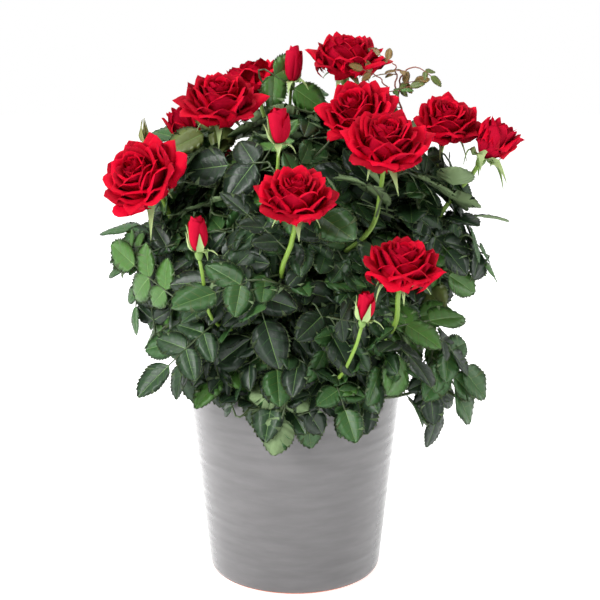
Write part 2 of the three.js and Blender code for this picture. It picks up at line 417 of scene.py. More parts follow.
PETAL_FINISHES = (
    Finish("petal_bright", "#cb0026", 0.7, 0.0012, 0.00014, 0.03, "#ff2040", specular=0.08),
    Finish("petal_red", "#b70020", 0.7, 0.0012, 0.00014, 0.03, "#ff2040", specular=0.08),
    Finish("petal_deep", "#9a001a", 0.7, 0.0012, 0.00014, 0.03, "#ff2040", specular=0.08),
    Finish("petal_back", "#b0062a", 0.75, 0.0012, 0.00014, 0.05, "#ff4060", specular=0.08),
)
PETAL_BACK = 3


# ---- meshes ----


class Gathered:
    """Faces of one kind, gathered from many small shapes and joined in one mesh."""

    def __init__(self) -> None:
        """Starts with no faces."""
        self.points: list[Array] = []
        self.corners: list[Array] = []
        self.sizes: list[Array] = []
        self.slots: list[Array] = []
        self.count = 0

    def add(self, points: Array, groups: list[Array], slots: int | Sequence[int] = 0) -> None:
        """Adds one shape.

        Args:
            points: Its points, one a row.
            groups: Its faces, in arrays that each hold faces of one size.
            slots: The finish of them all, or of each array.
        """
        for faces, slot in zip(groups, np.broadcast_to(slots, len(groups))):
            self.corners.append(faces.ravel() + self.count)
            self.sizes.append(np.full(len(faces), faces.shape[1]))
            self.slots.append(np.full(len(faces), slot))
        self.points.append(points)
        self.count += len(points)

    def take(self, other: "Gathered") -> None:
        """Takes in everything that another holds."""
        self.corners += [corners + self.count for corners in other.corners]
        self.sizes += other.sizes
        self.slots += other.slots
        self.points += other.points
        self.count += other.count

    def triangles(self) -> int:
        """How many triangles there are so far."""
        return int(sum((s - 2).sum() for s in self.sizes))

    def piece(self, name: str, finishes: tuple[Finish, ...]) -> Piece:
        """Joins what was gathered in one smooth object in the scene.

        Args:
            name: The object's name.
            finishes: The finish of each slot.

        Returns:
            The object.
        """
        sizes = np.concatenate(self.sizes)
        mesh = bpy.data.meshes.new(name)
        mesh.vertices.add(self.count)
        mesh.vertices.foreach_set("co", np.concatenate(self.points).astype(np.float32).ravel())
        mesh.loops.add(int(sizes.sum()))
        mesh.loops.foreach_set("vertex_index", np.concatenate(self.corners).astype(np.int32))
        mesh.polygons.add(len(sizes))
        starts = np.concatenate([[0], np.cumsum(sizes)[:-1]])
        mesh.polygons.foreach_set("loop_start", starts.astype(np.int32))
        mesh.polygons.foreach_set("material_index", np.concatenate(self.slots).astype(np.int32))
        mesh.update(calc_edges=True)
        mesh.shade_smooth()
        for finish in finishes:
            mesh.materials.append(finish.material())
        made = bpy.data.objects.new(name, mesh)
        bpy.context.scene.collection.objects.link(made)
        return made


def settle(piece: Piece, slot: str, *nodes: str) -> None:
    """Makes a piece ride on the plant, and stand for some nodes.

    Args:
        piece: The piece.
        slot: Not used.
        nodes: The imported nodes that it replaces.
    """
    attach(piece, ROOT)
    if nodes:
        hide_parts(*nodes)


def node_points(name: str) -> Array:
    """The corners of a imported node, one a row."""
    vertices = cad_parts[name].data.vertices
    points = np.zeros(len(vertices) * 3)
    vertices.foreach_get("co", points)
    return points.reshape(-1, 3)


def nodes_named(start: str) -> list[str]:
    """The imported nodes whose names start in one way, in order."""
    return sorted(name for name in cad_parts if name.startswith(start))


def centreline(name: str, start: Array, step: float) -> Array:
    """The middle of a packed limb, walked from one end.

    Args:
        name: The limb's node.
        start: A point near the end to start from.
        step: How far apart its points are, in metres.

    Returns:
        The points, from that end to the other.
    """
    points = node_points(name)
    far = np.linalg.norm(points - start, axis=1)
    bins = np.round((far - far.min()) / step).astype(int)
    return np.array([points[bins == b].mean(axis=0) for b in np.unique(bins)])


# ---- pot and compost ----


@dataclass
class Pot:
    """The glazed pot: a tapering wall with soft throwing ribs, a round lip and a bare clay foot."""

    sides: int = 160
    rows: int = 120
    wall: float = 5 * MM  # How thick its wall is
    rib_pitch: float = 9.5 * MM  # How far apart its ribs are
    rib_depth: float = 0.15 * MM  # How deep they are
    plain: float = 12 * MM  # How far from the rim and from the foot they are full
    clay_line: float = 1.6 * MM  # How high the bare clay shows above the foot
    recess: float = 1.2 * MM  # How far its underside is hollowed
    # How far in from the edge the hollow's slope ends, and starts
    ring: tuple[float, float] = (9 * MM, 7 * MM)
    lip: float = 2.5 * MM  # The radius of its lip
    heel: float = 2.5 * MM  # The radius of its heel
    rim_radius: float = field(init=False)
    base_radius: float = field(init=False)
    height: float = field(init=False)

    def __post_init__(self) -> None:
        """Reads the pot's own sizes from its node."""
        points = node_points("pot")
        radii = np.hypot(points[:, 0], points[:, 1])
        self.height = float(points[:, 2].max())
        self.rim_radius = float(radii.max())
        self.base_radius = float(radii[points[:, 2] < self.heel * 1.5].max())

    def outside(self, z: Array) -> Array:
        """The outer radius at a height."""
        return self.base_radius + (self.rim_radius - self.base_radius) * z / self.height

    def profile(self) -> Array:
        """Radius and height of the pot's section, from the middle of the underside round to the floor."""
        top, floor = self.height - self.lip, self.wall * 1.6
        under = [(0, self.recess), (self.base_radius - self.ring[0], self.recess)]
        under.append((self.base_radius - self.ring[1], 0.0))
        heel = [
            (self.base_radius - self.heel * (1 - math.sin(a)), self.heel * (1 - math.cos(a)))
            for a in np.linspace(0.15, math.pi / 2, 6)
        ]
        wall = [(self.outside(z), z) for z in np.linspace(self.heel * 1.2, top, self.rows)]
        rim = self.outside(top) - self.lip
        lip = [
            (rim + self.lip * math.cos(a), top + self.lip * math.sin(a))
            for a in np.linspace(0.25, math.pi - 0.2, 9)
        ]
        inner = [(self.outside(z) - self.wall, z) for z in np.linspace(top, floor, 24)]
        return np.array([*under, *heel, *wall, *lip, *inner, (0, floor)])

    def ribbed(self, z: Array, angle: Array) -> Array:
        """How far the throwing ribs stand out at a height and an angle."""
        phase = 2 * math.pi * z / self.rib_pitch
        wander = 0.9 * np.sin(2 * math.pi * z / 0.052 + 1.1) + 0.35 * np.sin(angle + 9 * z / 0.1)
        height = 0.55 + 0.45 * np.sin(2 * angle + 2 * math.pi * z / 0.041 + 1.5 * np.sin(z / 0.011))
        fine = 0.3 * np.sin(1.7 * phase + 1.3 * np.sin(angle))
        return self.rib_depth * (np.cos(phase + wander) * height + fine)

    def build(self) -> Piece:
        """Makes the pot.

        Returns:
            The pot's piece.
        """
        profile = self.profile()
        angles = circle(self.sides)
        r, z = profile[:, :1], profile[:, 1:]
        outer = (r > self.outside(z) - 0.6 * MM) & (z > self.heel) & (z < self.height - self.lip)
        fade = 1 - eased(z, self.height - self.plain, self.height - self.lip)
        fade = eased(z, self.heel, self.plain) * fade
        r = r + np.where(outer, self.ribbed(z, angles[None]) * fade, 0.0)
        points = np.stack([r * np.cos(angles), r * np.sin(angles), np.broadcast_to(z, r.shape)], axis=-1)
        walls = ring_quads(self.sides, len(profile) - 1)
        clay_rows = int((profile[: len(profile) // 2, 1] <= self.clay_line).sum()) - 1
        clay = clay_rows * self.sides
        made = Gathered()
        made.add(points.reshape(-1, 3), [walls[:clay], walls[clay:]], (1, 0))
        piece = made.piece("pot_glazed", (GLAZE, CLAY))
        settle(piece, "glaze", "pot")
        return piece


@dataclass
class Compost:
    """The compost: a low uneven mound inside the rim, strewn with crumbs and bark chips."""

    seed: int = 5
    rings: int = 40  # Steps from the middle to the wall
    sides: int = 96
    crumbs: int = 1100  # How many loose crumbs lie on it
    sink: float = 12 * MM  # How far its edge goes down along the wall
    fall: float = 4.5 * MM  # How far the mound falls from its middle to its edge
    lump: float = 0.7 * MM  # How high its lumps are
    grit: float = 0.35 * MM  # How rough it is between them
    crumb: tuple[float, float] = (0.5, 1.5)  # A crumb's half breadth, smallest and usual largest

    def height(self, x: Array, y: Array) -> Array:
        """How high the surface is at a place."""
        _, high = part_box("soil")
        reach = np.hypot(x, y) / high.x
        lumps = np.sin(310 * x + 1) * np.sin(270 * y) + 0.6 * np.sin(610 * x + 700 * y)
        return high.z - self.fall * reach**1.5 + self.lump * lumps

    def build(self) -> list[Piece]:
        """Makes the surface and the crumbs.

        Returns:
            The two pieces.
        """
        _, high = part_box("soil")
        rng = np.random.default_rng(self.seed)
        radii = np.linspace(0.0, high.x * 0.985, self.rings)[:, None]
        angles = circle(self.sides)[None]
        x, y = radii * np.cos(angles), radii * np.sin(angles)
        z = self.height(x, y) + rng.normal(0, self.grit, x.shape)
        z[0] = z[0].mean()
        edge = np.stack([x[-1], y[-1], np.full(self.sides, high.z - self.sink)], axis=-1) * [0.97, 0.97, 1]
        points = np.concatenate([np.stack([x, y, z], axis=-1).reshape(-1, 3), edge])
        made = Gathered()
        made.add(points, [ring_quads(self.sides, self.rings)[:, [0, 3, 2, 1]]])
        surface = made.piece("compost", (COMPOST,))
        settle(surface, "soil", "soil")
        crumbs = self.strewn(rng, high.x)
        settle(crumbs, "soil")
        return [surface, crumbs]

    def strewn(self, rng: np.random.Generator, reach: float) -> Piece:
        """Makes the loose crumbs.

        Args:
            rng: What they are drawn from.
            reach: How far from the middle they lie.

        Returns:
            Their joined piece.
        """
        corners = np.array([hand * np.eye(3)[axis] for axis in range(3) for hand in (1, -1)])
        upper = np.array([[0, 2, 4], [2, 1, 4], [1, 3, 4], [3, 0, 4]])
        lower = np.array([[2, 0, 5], [1, 2, 5], [3, 1, 5], [0, 3, 5]])
        made = Gathered()
        for _ in range(self.crumbs):
            distance = reach * 0.95 * math.sqrt(rng.random())
            angle = rng.uniform(0, 2 * math.pi)
            x, y = distance * math.cos(angle), distance * math.sin(angle)
            size = rng.uniform(*self.crumb) * MM * (1.0 + rng.random() ** 6)
            shape = corners * rng.uniform(0.5, 1.2, (6, 1)) * size * rng.uniform(0.6, 1.3, 3)
            spun = shape @ spin(rng.uniform(0, 2 * math.pi)).T
            at = np.array([x, y, float(self.height(np.array(x), np.array(y))) + size * 0.2])
            made.add(spun + at, [upper, lower], int(rng.choice(3, p=[0.55, 0.35, 0.1])))
        return made.piece("compost_crumbs", CRUMBS)


# ---- living wood ----


class Skeleton:
    """The lines of living wood that new twigs may start from."""

    def __init__(self) -> None:
        """Starts with no wood."""
        self.points = np.empty((0, 3))
        self.ways = np.empty((0, 3))

    def add(self, line: Array) -> None:
        """Adds a limb's line."""
        self.points = np.concatenate([self.points, line])
        self.ways = np.concatenate([self.ways, unit(np.gradient(line, axis=0))])

    def fork(self, target: Array, drop: float = 0.8) -> tuple[Array, Array, float]:
        """Where a twig to a target best starts: near it, and rather below it.

        Args:
            target: Where the twig goes.
            drop: How much a start that lies above the target is avoided.

        Returns:
            The start, the wood's way there, and the distance.
        """
        offset = target - self.points
        distance = np.linalg.norm(offset, axis=1)
        cost = distance + drop * np.maximum(0, -offset[:, 2]) + 0.0005
        best = int(np.argmin(cost))
        return self.points[best], self.ways[best], float(distance[best])


@dataclass(frozen=True)
class Seat:
    """Where a flower sits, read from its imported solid."""

    name: str
    middle: Array  # The middle of its solid
    way: Array  # The unit way that it faces
    radius: float  # Half its breadth
    height: float
    hip_share: float  # Where its foot lies below its middle, as a share of its height

    @classmethod
    def read(cls, name: str, facing: Triple, hip_share: float) -> "Seat":
        """Reads a seat from a packed flower.

        Args:
            name: The flower's node.
            facing: Roughly the way that it faces.
            hip_share: Where its foot lies below its middle, as a share of its height.

        Returns:
            The seat.
        """
        points = node_points(name)
        along = points @ unit(np.array(facing, float))
        end = 0.02 * (along.max() - along.min())
        foot = points[along < along.min() + end].mean(axis=0)
        top = points[along > along.max() - end].mean(axis=0)
        way = unit(top - foot)
        height = float(np.linalg.norm(top - foot))
        middle = foot + way * height * hip_share
        radial = cls.around(points, middle, way)[1]
        return cls(name, middle, way, float(radial.max()) / 1.03, height, hip_share)

    @staticmethod
    def around(points: Array, middle: Array, way: Array) -> tuple[Array, Array]:
        """How far points lie along an axis through a middle, and how far away from it."""
        offset = points - middle
        along = offset @ way
        return along, np.linalg.norm(offset - along[:, None] * way, axis=1)

    def foot(self) -> Array:
        """The foot of the hip, where the stalk meets it."""
        return self.middle - self.way * self.height * self.hip_share

    def base(self) -> Array:
        """The top of the hip, where petals and sepals grow."""
        return self.foot() + self.way * self.height * HIP_SHARE

    def covers(self, points: Array, grow: float) -> Array:
        """Which points lie in the flower's own space.

        Args:
            points: The points, one a row.
            grow: How far the space is grown.

        Returns:
            A truth value for each.
        """
        along, radial = self.around(points, self.middle, self.way)
        cone = self.radius * eased(along, -0.5 * self.height, 0.05 * self.height)
        return (radial < cone + grow) & (abs(along) < self.height * 0.55 + grow)


class Opening(Enum):
    """How far a flower has opened."""

    OPEN = "open"
    HALF = "half"
    BUD = "bud"

    @classmethod
    def of(cls, name: str) -> "Opening":
        """How far a flower has opened, by its name."""
        if name.startswith("bud"):
            return cls.BUD
        return cls.HALF if name in HALF_OPEN else cls.OPEN


# The way that each flower faces, roughly.
FACINGS = {
    "bloom_left": (-0.45, -0.62, 0.62),
    "bloom_upper_left": (0.02, -0.42, 0.9),
    "bloom_behind": (-0.25, 0.22, 0.93),
    "bloom_top": (0.08, -0.16, 0.98),
    "bloom_heart": (-0.28, -0.52, 0.8),
    "bloom_near_heart": (0.06, -0.46, 0.88),
    "bloom_right": (0.08, -0.5, 0.86),
    "bloom_far_right": (0.55, 0.12, 0.82),
    "bloom_front": (0.02, -0.4, 0.92),
    "bloom_low_right": (0.1, -0.2, 0.97),
    "bloom_tucked": (-0.35, -0.1, 0.93),
    "bloom_back_left": (-0.3, 0.55, 0.78),
    "bloom_back_right": (0.3, 0.55, 0.78),
    "bud_top": (0.08, -0.02, 1.0),
    "bud_upper": (0.02, -0.08, 1.0),
    "bud_left": (-0.1, -0.08, 1.0),
    "bud_low": (0.18, -0.1, 1.0),
}
HALF_OPEN = ("bloom_far_right", "bloom_tucked")


@dataclass
class Wood:
    """The woody foot, the canes that leave it, and the flower stalks, with bark, knots and thorns."""

    seed: int = 11
    sides: int = 12
    foot_sides: int = 40  # Steps round the foot
    cane: tuple[float, float] = (3.5, 1.7)  # A cane's radius at its foot and at its tip, in millimetres
    stub: float = 2.9 * MM  # A pruned stub's radius
    knot_pitch: float = 19 * MM  # How far apart the knots on a cane are
    thorn: float = 3.2 * MM  # A thorn's length
    thorns_each: int = 9  # How many thorns a cane has
    rise: float = 42 * MM  # How far below its shown end a stalk leaves its cane
    # The radius of a bloom's stalk, and of a bud's, in millimetres
    stalk: tuple[float, float] = (1.55, 1.1)
    skeleton: Skeleton = field(default_factory=Skeleton)  # The lines of all wood made so far
    # The line of each flower stalk, upward, and where it comes out of the foliage
    stems: list[tuple[Array, Array]] = field(default_factory=list)

    def __post_init__(self) -> None:
        """Starts the generator of its bark and thorns."""
        self.rng = np.random.default_rng(self.seed)

    def bark(self, line: Array, radii: Array) -> tuple[Array, list[Array]]:
        """A limb with ridged bark and knots.

        Args:
            line: Its middle.
            radii: Its radius along that.

        Returns:
            Its points and faces.
        """
        run = run_along(line)[:, None]
        angle = circle(self.sides)[None]
        start = self.rng.uniform(0, 6)
        ridges = 0.05 * np.sin(5 * angle + start + run * 90) + 0.03 * np.sin(3 * angle - run * 260)
        knots = 0.16 * np.exp(-(((run / self.knot_pitch + start) % 1 - 0.5) / 0.09) ** 2)
        return sweep(line, radii[:, None] * (1 + ridges + knots), self.sides)

    def thorns(self, made: Gathered, line: Array, radii: Array) -> None:
        """Sets thorns along a cane.

        Args:
            made: Where they are gathered.
            line: The cane's middle.
            radii: The cane's radius along that.
        """
        rng = self.rng
        ways = unit(np.gradient(line, axis=0))
        taper = np.array([0.9, 0.6, 0.36, 0.18, 0.04]) * MM
        for _ in range(self.thorns_each):
            at = int(rng.integers(1, len(line) - 1))
            out = square_to(ways[at], rng.normal(size=3))
            root = line[at] + out * radii[at] * 0.7
            tip = root + (out - ways[at] * 0.45) * self.thorn * rng.uniform(0.6, 1.0)
            middle = root + (out * 0.55 - ways[at] * 0.1) * self.thorn
            made.add(*sweep(bezier([root, root, middle, tip], len(taper)), taper, 6), 1)

    def foot(self, made: Gathered) -> None:
        """Makes the woody foot and its pruned stubs.

        Args:
            made: Where it is gathered.
        """
        low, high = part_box("foot")
        reach = (high.x - low.x) / 2
        heights = np.linspace(low.z - 2 * MM, high.z - 0.5 * MM, 26)
        share = (heights - low.z) / (high.z - low.z)
        radii = reach * np.interp(share, [-0.2, 0, 0.3, 0.65, 0.85, 1], [1, 0.97, 0.72, 0.6, 0.66, 0.3])
        angle, z = circle(self.foot_sides)[None], heights[:, None]
        knobs = 0.1 * np.sin(3 * angle + z * 300) + 0.05 * np.sin(7 * angle - 400 * z)
        made.add(*sweep(heights[:, None] * UP, radii[:, None] * (1 + knobs), self.foot_sides))
        for turn in range(4):
            a = 0.5 + turn * GOLDEN_ANGLE
            out = np.array([math.cos(a), math.sin(a), 0.9])
            root = np.array([0, 0, low.z + (high.z - low.z) * 0.5])
            line = root + np.linspace(0, 1, 6)[:, None] * unit(out) * self.rng.uniform(13, 17) * MM
            made.add(*self.bark(line, np.full(6, self.stub)))

    def build(self, seats: list[Seat]) -> list[Piece]:
        """Makes the foot, the canes and the stalks.

        Args:
            seats: The flowers that the stalks carry.

        Returns:
            The pieces.
        """
        bark = Gathered()
        self.foot(bark)
        _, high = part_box("foot")
        root = np.array([0, 0, high.z - 5 * MM])
        canes = nodes_named("cane_")
        for name in canes:
            line = centreline(name, root, 7 * MM)
            line[0] = root + (line[0] - root) * 0.4
            tip = line[-1] + unit(line[-1] - line[-3]) * 26 * MM
            line = bow(line[0], unit(line[1] - line[0]), line[-1], unit(line[-1] - line[-2]), 22)
            line = np.concatenate([line, bezier([line[-1], line[-1], tip, tip], 7)[1:]])
            radii = np.linspace(*self.cane, len(line)) * MM
            bark.add(*self.bark(line, radii))
            self.thorns(bark, line, radii)
            self.skeleton.add(line)
        wood = bark.piece("canes_and_foot", (BARK, THORN))
        settle(wood, "bark", "foot", *canes)
        return [wood, self.stalks(seats)]

    def stalks(self, seats: list[Seat]) -> Piece:
        """Makes the flower stalks, each from its hip down to a cane or another stalk.

        Args:
            seats: The flowers.

        Returns:
            Their joined piece.
        """
        made = Gathered()
        nodes = nodes_named("stalk_")
        steps = 30
        for seat in sorted(seats, key=lambda s: s.middle[2] + 0.5 * abs(s.middle[0])):
            foot = seat.foot()
            node = f"stalk_{seat.name}"
            hidden = foot - seat.way * [[4 * MM], [12 * MM]]
            shown = centreline(node, foot, 6 * MM) if node in nodes else hidden
            end = shown[-1]
            below = end * [0.5, 0.5, 1] - UP * self.rise
            start, way, _ = self.skeleton.fork(below, 2.0)
            rise = bow(start, unit(way * 0.3 + unit(end - start)), end, unit(shown[-2] - end), 14)
            line = self.evened(np.concatenate([rise[:-1], shown[::-1], [foot]]), steps)
            thick = self.stalk[Opening.of(seat.name) is Opening.BUD]
            radii = np.interp(np.linspace(0, 1, steps), [0, 0.3, 1], [thick + 0.4, thick + 0.1, thick]) * MM
            made.add(*sweep(line, radii, 10))
            self.skeleton.add(line[:20])
            self.stems.append((line, end))
        piece = made.piece("flower_stalks", (STALK,))
        settle(piece, "stalk", *nodes)
        return piece

    @staticmethod
    def evened(line: Array, count: int) -> Array:
        """A line walked again in even steps, with its corners eased.

        Args:
            line: Its points.
            count: How many points to give.

        Returns:
            The new points.
        """
        run = run_along(line)
        even = np.linspace(0, run[-1], count)
        walked = np.stack([np.interp(even, run, line[:, i]) for i in range(3)], axis=1)
        for _ in range(3):
            walked[1:-1] = (walked[:-2] + 2 * walked[1:-1] + walked[2:]) / 4
        return walked


# ---- flowers ----


@dataclass(frozen=True)
class Petal:
    """One petal as a cupped sheet whose margins roll back."""

    azimuth: float
    section: Array  # The four control points of its middle line, as (radius, height) in metres
    half_width: float  # Half its breadth
    cup: tuple[float, float]  # The radius of its cup across, at its foot and at its rim
    roll: tuple[float, float]  # How wide the strip is that rolls back at the top, and at the sides
    curl: float  # The radius of that roll
    point: float = 0.0  # How far its tip is drawn out
    ruffle: float = 0.0  # How far its rim waves
    phase: float = 0.0  # Where those waves start
    lean: float = 0.0  # How far it is skewed round the flower
    shoulder: float = 0.46  # How far its corners fall below its tip, as a share of its length
    foot: float = 0.3  # How broad its foot is, as a share of its breadth
    thickness: float = 0.35 * MM

    def sheets(self, across: int, along: int) -> tuple[Array, Array]:
        """The petal's outer and inner side as grids of points in the flower's own space.

        Args:
            across: Steps from side to side.
            along: Steps from foot to tip.

        Returns:
            The outer side and the inner side, each (along + 1, across + 1, 3).
        """
        u = np.linspace(-1, 1, across + 1)[None]
        u = np.sign(u) * (1 - (1 - abs(u)) ** 1.2)
        v = (1 - (1 - np.linspace(0, 1, along + 1)) ** 1.25)[:, None]
        line = bezier(self.section, 80)
        run = run_along(line)
        length = run[-1]
        breadth = self.foot + (1 - self.foot) * np.sin(math.pi / 2 * np.minimum(1, v / 0.68)) ** 0.9
        x = self.half_width * breadth * u * (1 - 0.52 * self.shoulder * eased(v, 0.55, 1.0) * abs(u) ** 3)
        tip = self.point * np.exp(-((u / 0.26) ** 2)) * v**6
        y = length * (v - self.shoulder * v**1.6 * abs(u) ** 2.2) + tip
        way_r, way_z = (np.gradient(line[:, i]) for i in (0, 1))
        size = np.hypot(way_r, way_z)
        m_r, m_z = (np.interp(y, run, line[:, i]) for i in (0, 1))
        t_r, t_z = np.interp(y, run, way_r / size), np.interp(y, run, way_z / size)
        past = np.maximum(0, y - length)
        m_r, m_z = m_r + t_r * past, m_z + t_z * past
        cup = self.cup[0] + (self.cup[1] - self.cup[0]) * np.clip(y / length, 0, 1)
        turn = x / cup
        # The three axes are outward, round the flower, and up its axis.
        inward = np.stack([-t_z, np.zeros_like(t_r), t_r], axis=-1)
        around = np.zeros_like(inward)
        around[..., 1] = 1
        way = np.stack([t_r, np.zeros_like(t_r), t_z], axis=-1)
        sine, cosine = np.sin(turn)[..., None], np.cos(turn)[..., None]
        middle = np.stack([m_r, np.zeros_like(m_r), m_z], axis=-1)
        points = middle + cup[..., None] * ((1 - cosine) * inward + sine * around)
        back = -inward * cosine + around * sine
        side_way = np.sign(u)[..., None] * (around * cosine + inward * sine)
        top_roll = self.roll[0] * (0.3 + 0.7 * abs(u)) * np.ones_like(v)
        side_roll = self.roll[1] * eased(v, 0.2, 0.75) * np.ones_like(u)
        top_edge = (1 - v) * length * np.ones_like(u)
        side_edge = (1 - abs(u)) * self.half_width * breadth
        over_top = np.maximum(0, top_roll - top_edge)
        over_side = np.maximum(0, side_roll - side_edge)
        rolled = np.hypot(over_top, over_side)
        out = (way * over_top[..., None] + side_way * over_side[..., None]) / (rolled[..., None] + 1e-9)
        angle = np.minimum(rolled / self.curl, 3.4)
        points = points - out * (rolled - self.curl * np.sin(angle))[..., None]
        points = points + back * (self.curl * (1 - np.cos(angle)))[..., None]
        wave = np.sin(5.1 * u + self.phase) + 0.5 * np.sin(9.7 * u + 2 * self.phase)
        points = points + back * (self.ruffle * wave * v**3)[..., None]
        points[..., 1] += self.lean * (v**2) * self.half_width
        down, over = np.gradient(points, axis=(0, 1))
        normal = np.cross(down, over)
        normal /= np.linalg.norm(normal, axis=-1, keepdims=True) + 1e-12
        rim = np.minimum(np.minimum(top_edge, side_edge) / (1.2 * MM), 1.0)
        rear = points + normal * (self.thickness * rim)[..., None]
        rear[0] = points[0]
        return points, rear


@dataclass
class Bloom:
    """A flower: petals in a spiral from a tight heart to spreading guards, five sepals and a hip."""

    seat: Seat
    opening: Opening  # How far it has opened
    seed: int

    # Share along the spiral, rim radius, rim height, as shares of the flower's radius and height.
    RIMS = {
        Opening.OPEN: (
            (0.0, 0.22, 0.46, 0.66, 0.82, 1.0),
            (0.03, 0.17, 0.38, 0.61, 0.86, 1.08),
            (0.38, 0.43, 0.4, 0.3, 0.16, -0.01),
        ),
        Opening.HALF: (
            (0.0, 0.25, 0.5, 0.75, 0.9, 1.0),
            (0.06, 0.22, 0.45, 0.66, 0.85, 1.0),
            (0.42, 0.45, 0.44, 0.42, 0.34, 0.22),
        ),
        Opening.BUD: (
            (0.0, 0.3, 0.5, 0.7, 0.85, 1.0),
            (0.1, 0.28, 0.44, 0.58, 0.68, 0.76),
            (0.5, 0.49, 0.48, 0.475, 0.465, 0.44),
        ),
    }
    COUNTS = {Opening.OPEN: 56, Opening.HALF: 30, Opening.BUD: 9}

    def __post_init__(self) -> None:
        """Starts the generator of its petals."""
        self.rng = np.random.default_rng(self.seed)
        self.bud = self.opening is Opening.BUD

    def petal(self, order: int) -> Petal:
        """Shapes one petal.

        Args:
            order: Its place along the spiral, from the heart.

        Returns:
            The petal.
        """
        rng = self.rng
        t = order / (self.COUNTS[self.opening] - 1)
        radius, height = self.seat.radius, self.seat.height
        base = -height * (self.seat.hip_share - HIP_SHARE)
        shares, rim_radii, rim_heights = self.RIMS[self.opening]
        rim = radius * np.interp(t, shares, rim_radii) * rng.uniform(0.95, 1.05)
        top = height * np.interp(t, shares, rim_heights) + rng.uniform(-1, 1) * (0.6 + 1.8 * t) * MM
        deep = top - base
        foot = (radius * (0.05 + 0.08 * t), base)
        if self.bud:
            guard, tight, heart = 0.0, radius * 0.35, 0.2 * radius
            wide = radius * np.interp(t, [0, 0.4, 1], [0.45, 0.95, 1.35])
            belly = radius * np.interp(t, [0, 0.5, 1], [0.38, 0.88, 1.22])
            section = np.array([foot, (belly, base + deep * 0.08), (belly, base + deep * 0.6), (rim, top)])
        else:
            guard, tight, heart = float(eased(np.array(t), 0.66, 0.88)), radius, 0.05 * radius
            wide = radius * np.interp(t, [0, 0.25, 0.6, 1], [0.28, 0.38, 0.5, 0.54])
            flare = float(eased(np.array(t), 0.12, 0.42))
            closed = [
                foot,
                (rim * 0.8 + radius * 0.1, base + deep * 0.08),
                (rim + radius * (0.13 - 0.24 * flare), top - deep * 0.3),
                (rim + radius * 0.05 * flare, top),
            ]
            spread = [
                foot,
                (radius * 0.36, base + height * 0.02),
                (radius * 0.78, top - height * 0.02),
                (rim, top),
            ]
            section = between(np.array(closed), np.array(spread), guard)
        inner_cup = between(radius * 0.35, radius * 0.6, guard)
        outer_cup = between(max(rim, heart) * 1.15, radius * 1.5, guard)
        top_roll = tight * np.interp(t, [0, 0.3, 0.7, 1], [0.04, 0.13, 0.2, 0.24])
        side_roll = tight * np.interp(t, [0, 0.3, 0.7, 1], [0.0, 0.06, 0.18, 0.32])
        return Petal(
            azimuth=order * GOLDEN_ANGLE + rng.uniform(-0.25, 0.25),
            section=section,
            half_width=wide * rng.uniform(0.94, 1.08),
            cup=(inner_cup, outer_cup),
            roll=(top_roll * rng.uniform(0.7, 1.3), side_roll * rng.uniform(0.5, 1.4)),
            curl=radius * np.interp(t, [0, 0.6, 1], [0.04, 0.06, 0.095]) * rng.uniform(0.8, 1.3),
            point=tight * 0.12 * t * rng.uniform(0.2, 1.5),
            ruffle=radius * (0.01 + 0.03 * t) * rng.uniform(0.4, 1.3),
            phase=rng.uniform(0, 6.3),
            lean=rng.uniform(-0.16, 0.16),
            shoulder=0.1 if self.bud else 0.46,
            foot=0.75 if self.bud else 0.3,
        )

    def basis(self) -> Array:
        """The flower's own axes as columns: two across it, and the way that it faces."""
        side = square_to(self.seat.way, np.array([1.0, 0.0, 0.0]))
        return np.stack([side, np.cross(self.seat.way, side), self.seat.way], axis=1)

    def add_petals(self, made: Gathered) -> None:
        """Adds the flower's petals to a mesh.

        Args:
            made: Where they are gathered.
        """
        across, along = (14, 9) if self.bud else (12, 10)
        row = across + 1
        cell = np.arange(along * row).reshape(along, row)[:, :-1].ravel()
        quads = np.stack([cell, cell + 1, cell + row + 1, cell + row], axis=1)
        basis = self.basis()
        rng = np.random.default_rng(self.seed + 500)
        for order in range(self.COUNTS[self.opening]):
            petal = self.petal(order)
            outer, inner = petal.sheets(across, along)
            turn = spin(petal.azimuth)
            red = int(rng.integers(PETAL_BACK))
            for sheet, faces, slot in ((outer, quads, PETAL_BACK), (inner, flipped(quads), red)):
                made.add(sheet.reshape(-1, 3) @ turn.T @ basis.T + self.seat.middle, [faces], slot)

    def add_greenery(self, made: Gathered, rng: np.random.Generator) -> None:
        """Adds the flower's hip and sepals to a mesh.

        Args:
            made: Where they are gathered.
            rng: What their bends are drawn from.
        """
        seat = self.seat
        hip = 2.6 * MM if self.bud else 3.3 * MM
        foot, base = seat.foot(), seat.base()
        line = foot + np.linspace(-0.1, 1.12, 12)[:, None] * (base - foot)
        radii = hip * np.interp(np.linspace(0, 1, 12), [0, 0.25, 0.6, 0.85, 1], [0.5, 0.85, 1.0, 0.85, 0.7])
        made.add(*sweep(line, radii, 16), 0)
        basis = self.basis()
        start = rng.uniform(0, 6.3)
        for turn in range(5):
            angle = start + turn * 2 * math.pi / 5 + rng.uniform(-0.15, 0.15)
            out = basis @ np.array([math.cos(angle), math.sin(angle), 0])
            length = rng.uniform(19, 25) * MM * (0.72 if self.bud else 1.0)
            root = base + out * hip * 0.75
            if self.bud and turn < 3:
                belly = base + out * seat.radius * 0.98
                line = [root, belly + seat.way * 0.15 * length, belly + seat.way * 0.6 * length]
                tip = belly + (seat.way * rng.uniform(0.8, 1.0) + out * rng.uniform(0.05, 0.3)) * length
            else:
                bend = root + (out * 0.5 + seat.way * rng.uniform(-0.12, 0.16)) * length
                tip = bend + (out * rng.uniform(0.1, 0.35) - UP * rng.uniform(0.25, 0.7)) * length
                line = [root, root + (bend - root) * 0.7, bend]
            self.add_sepal(made, bezier([*line, tip], 9), out, length)

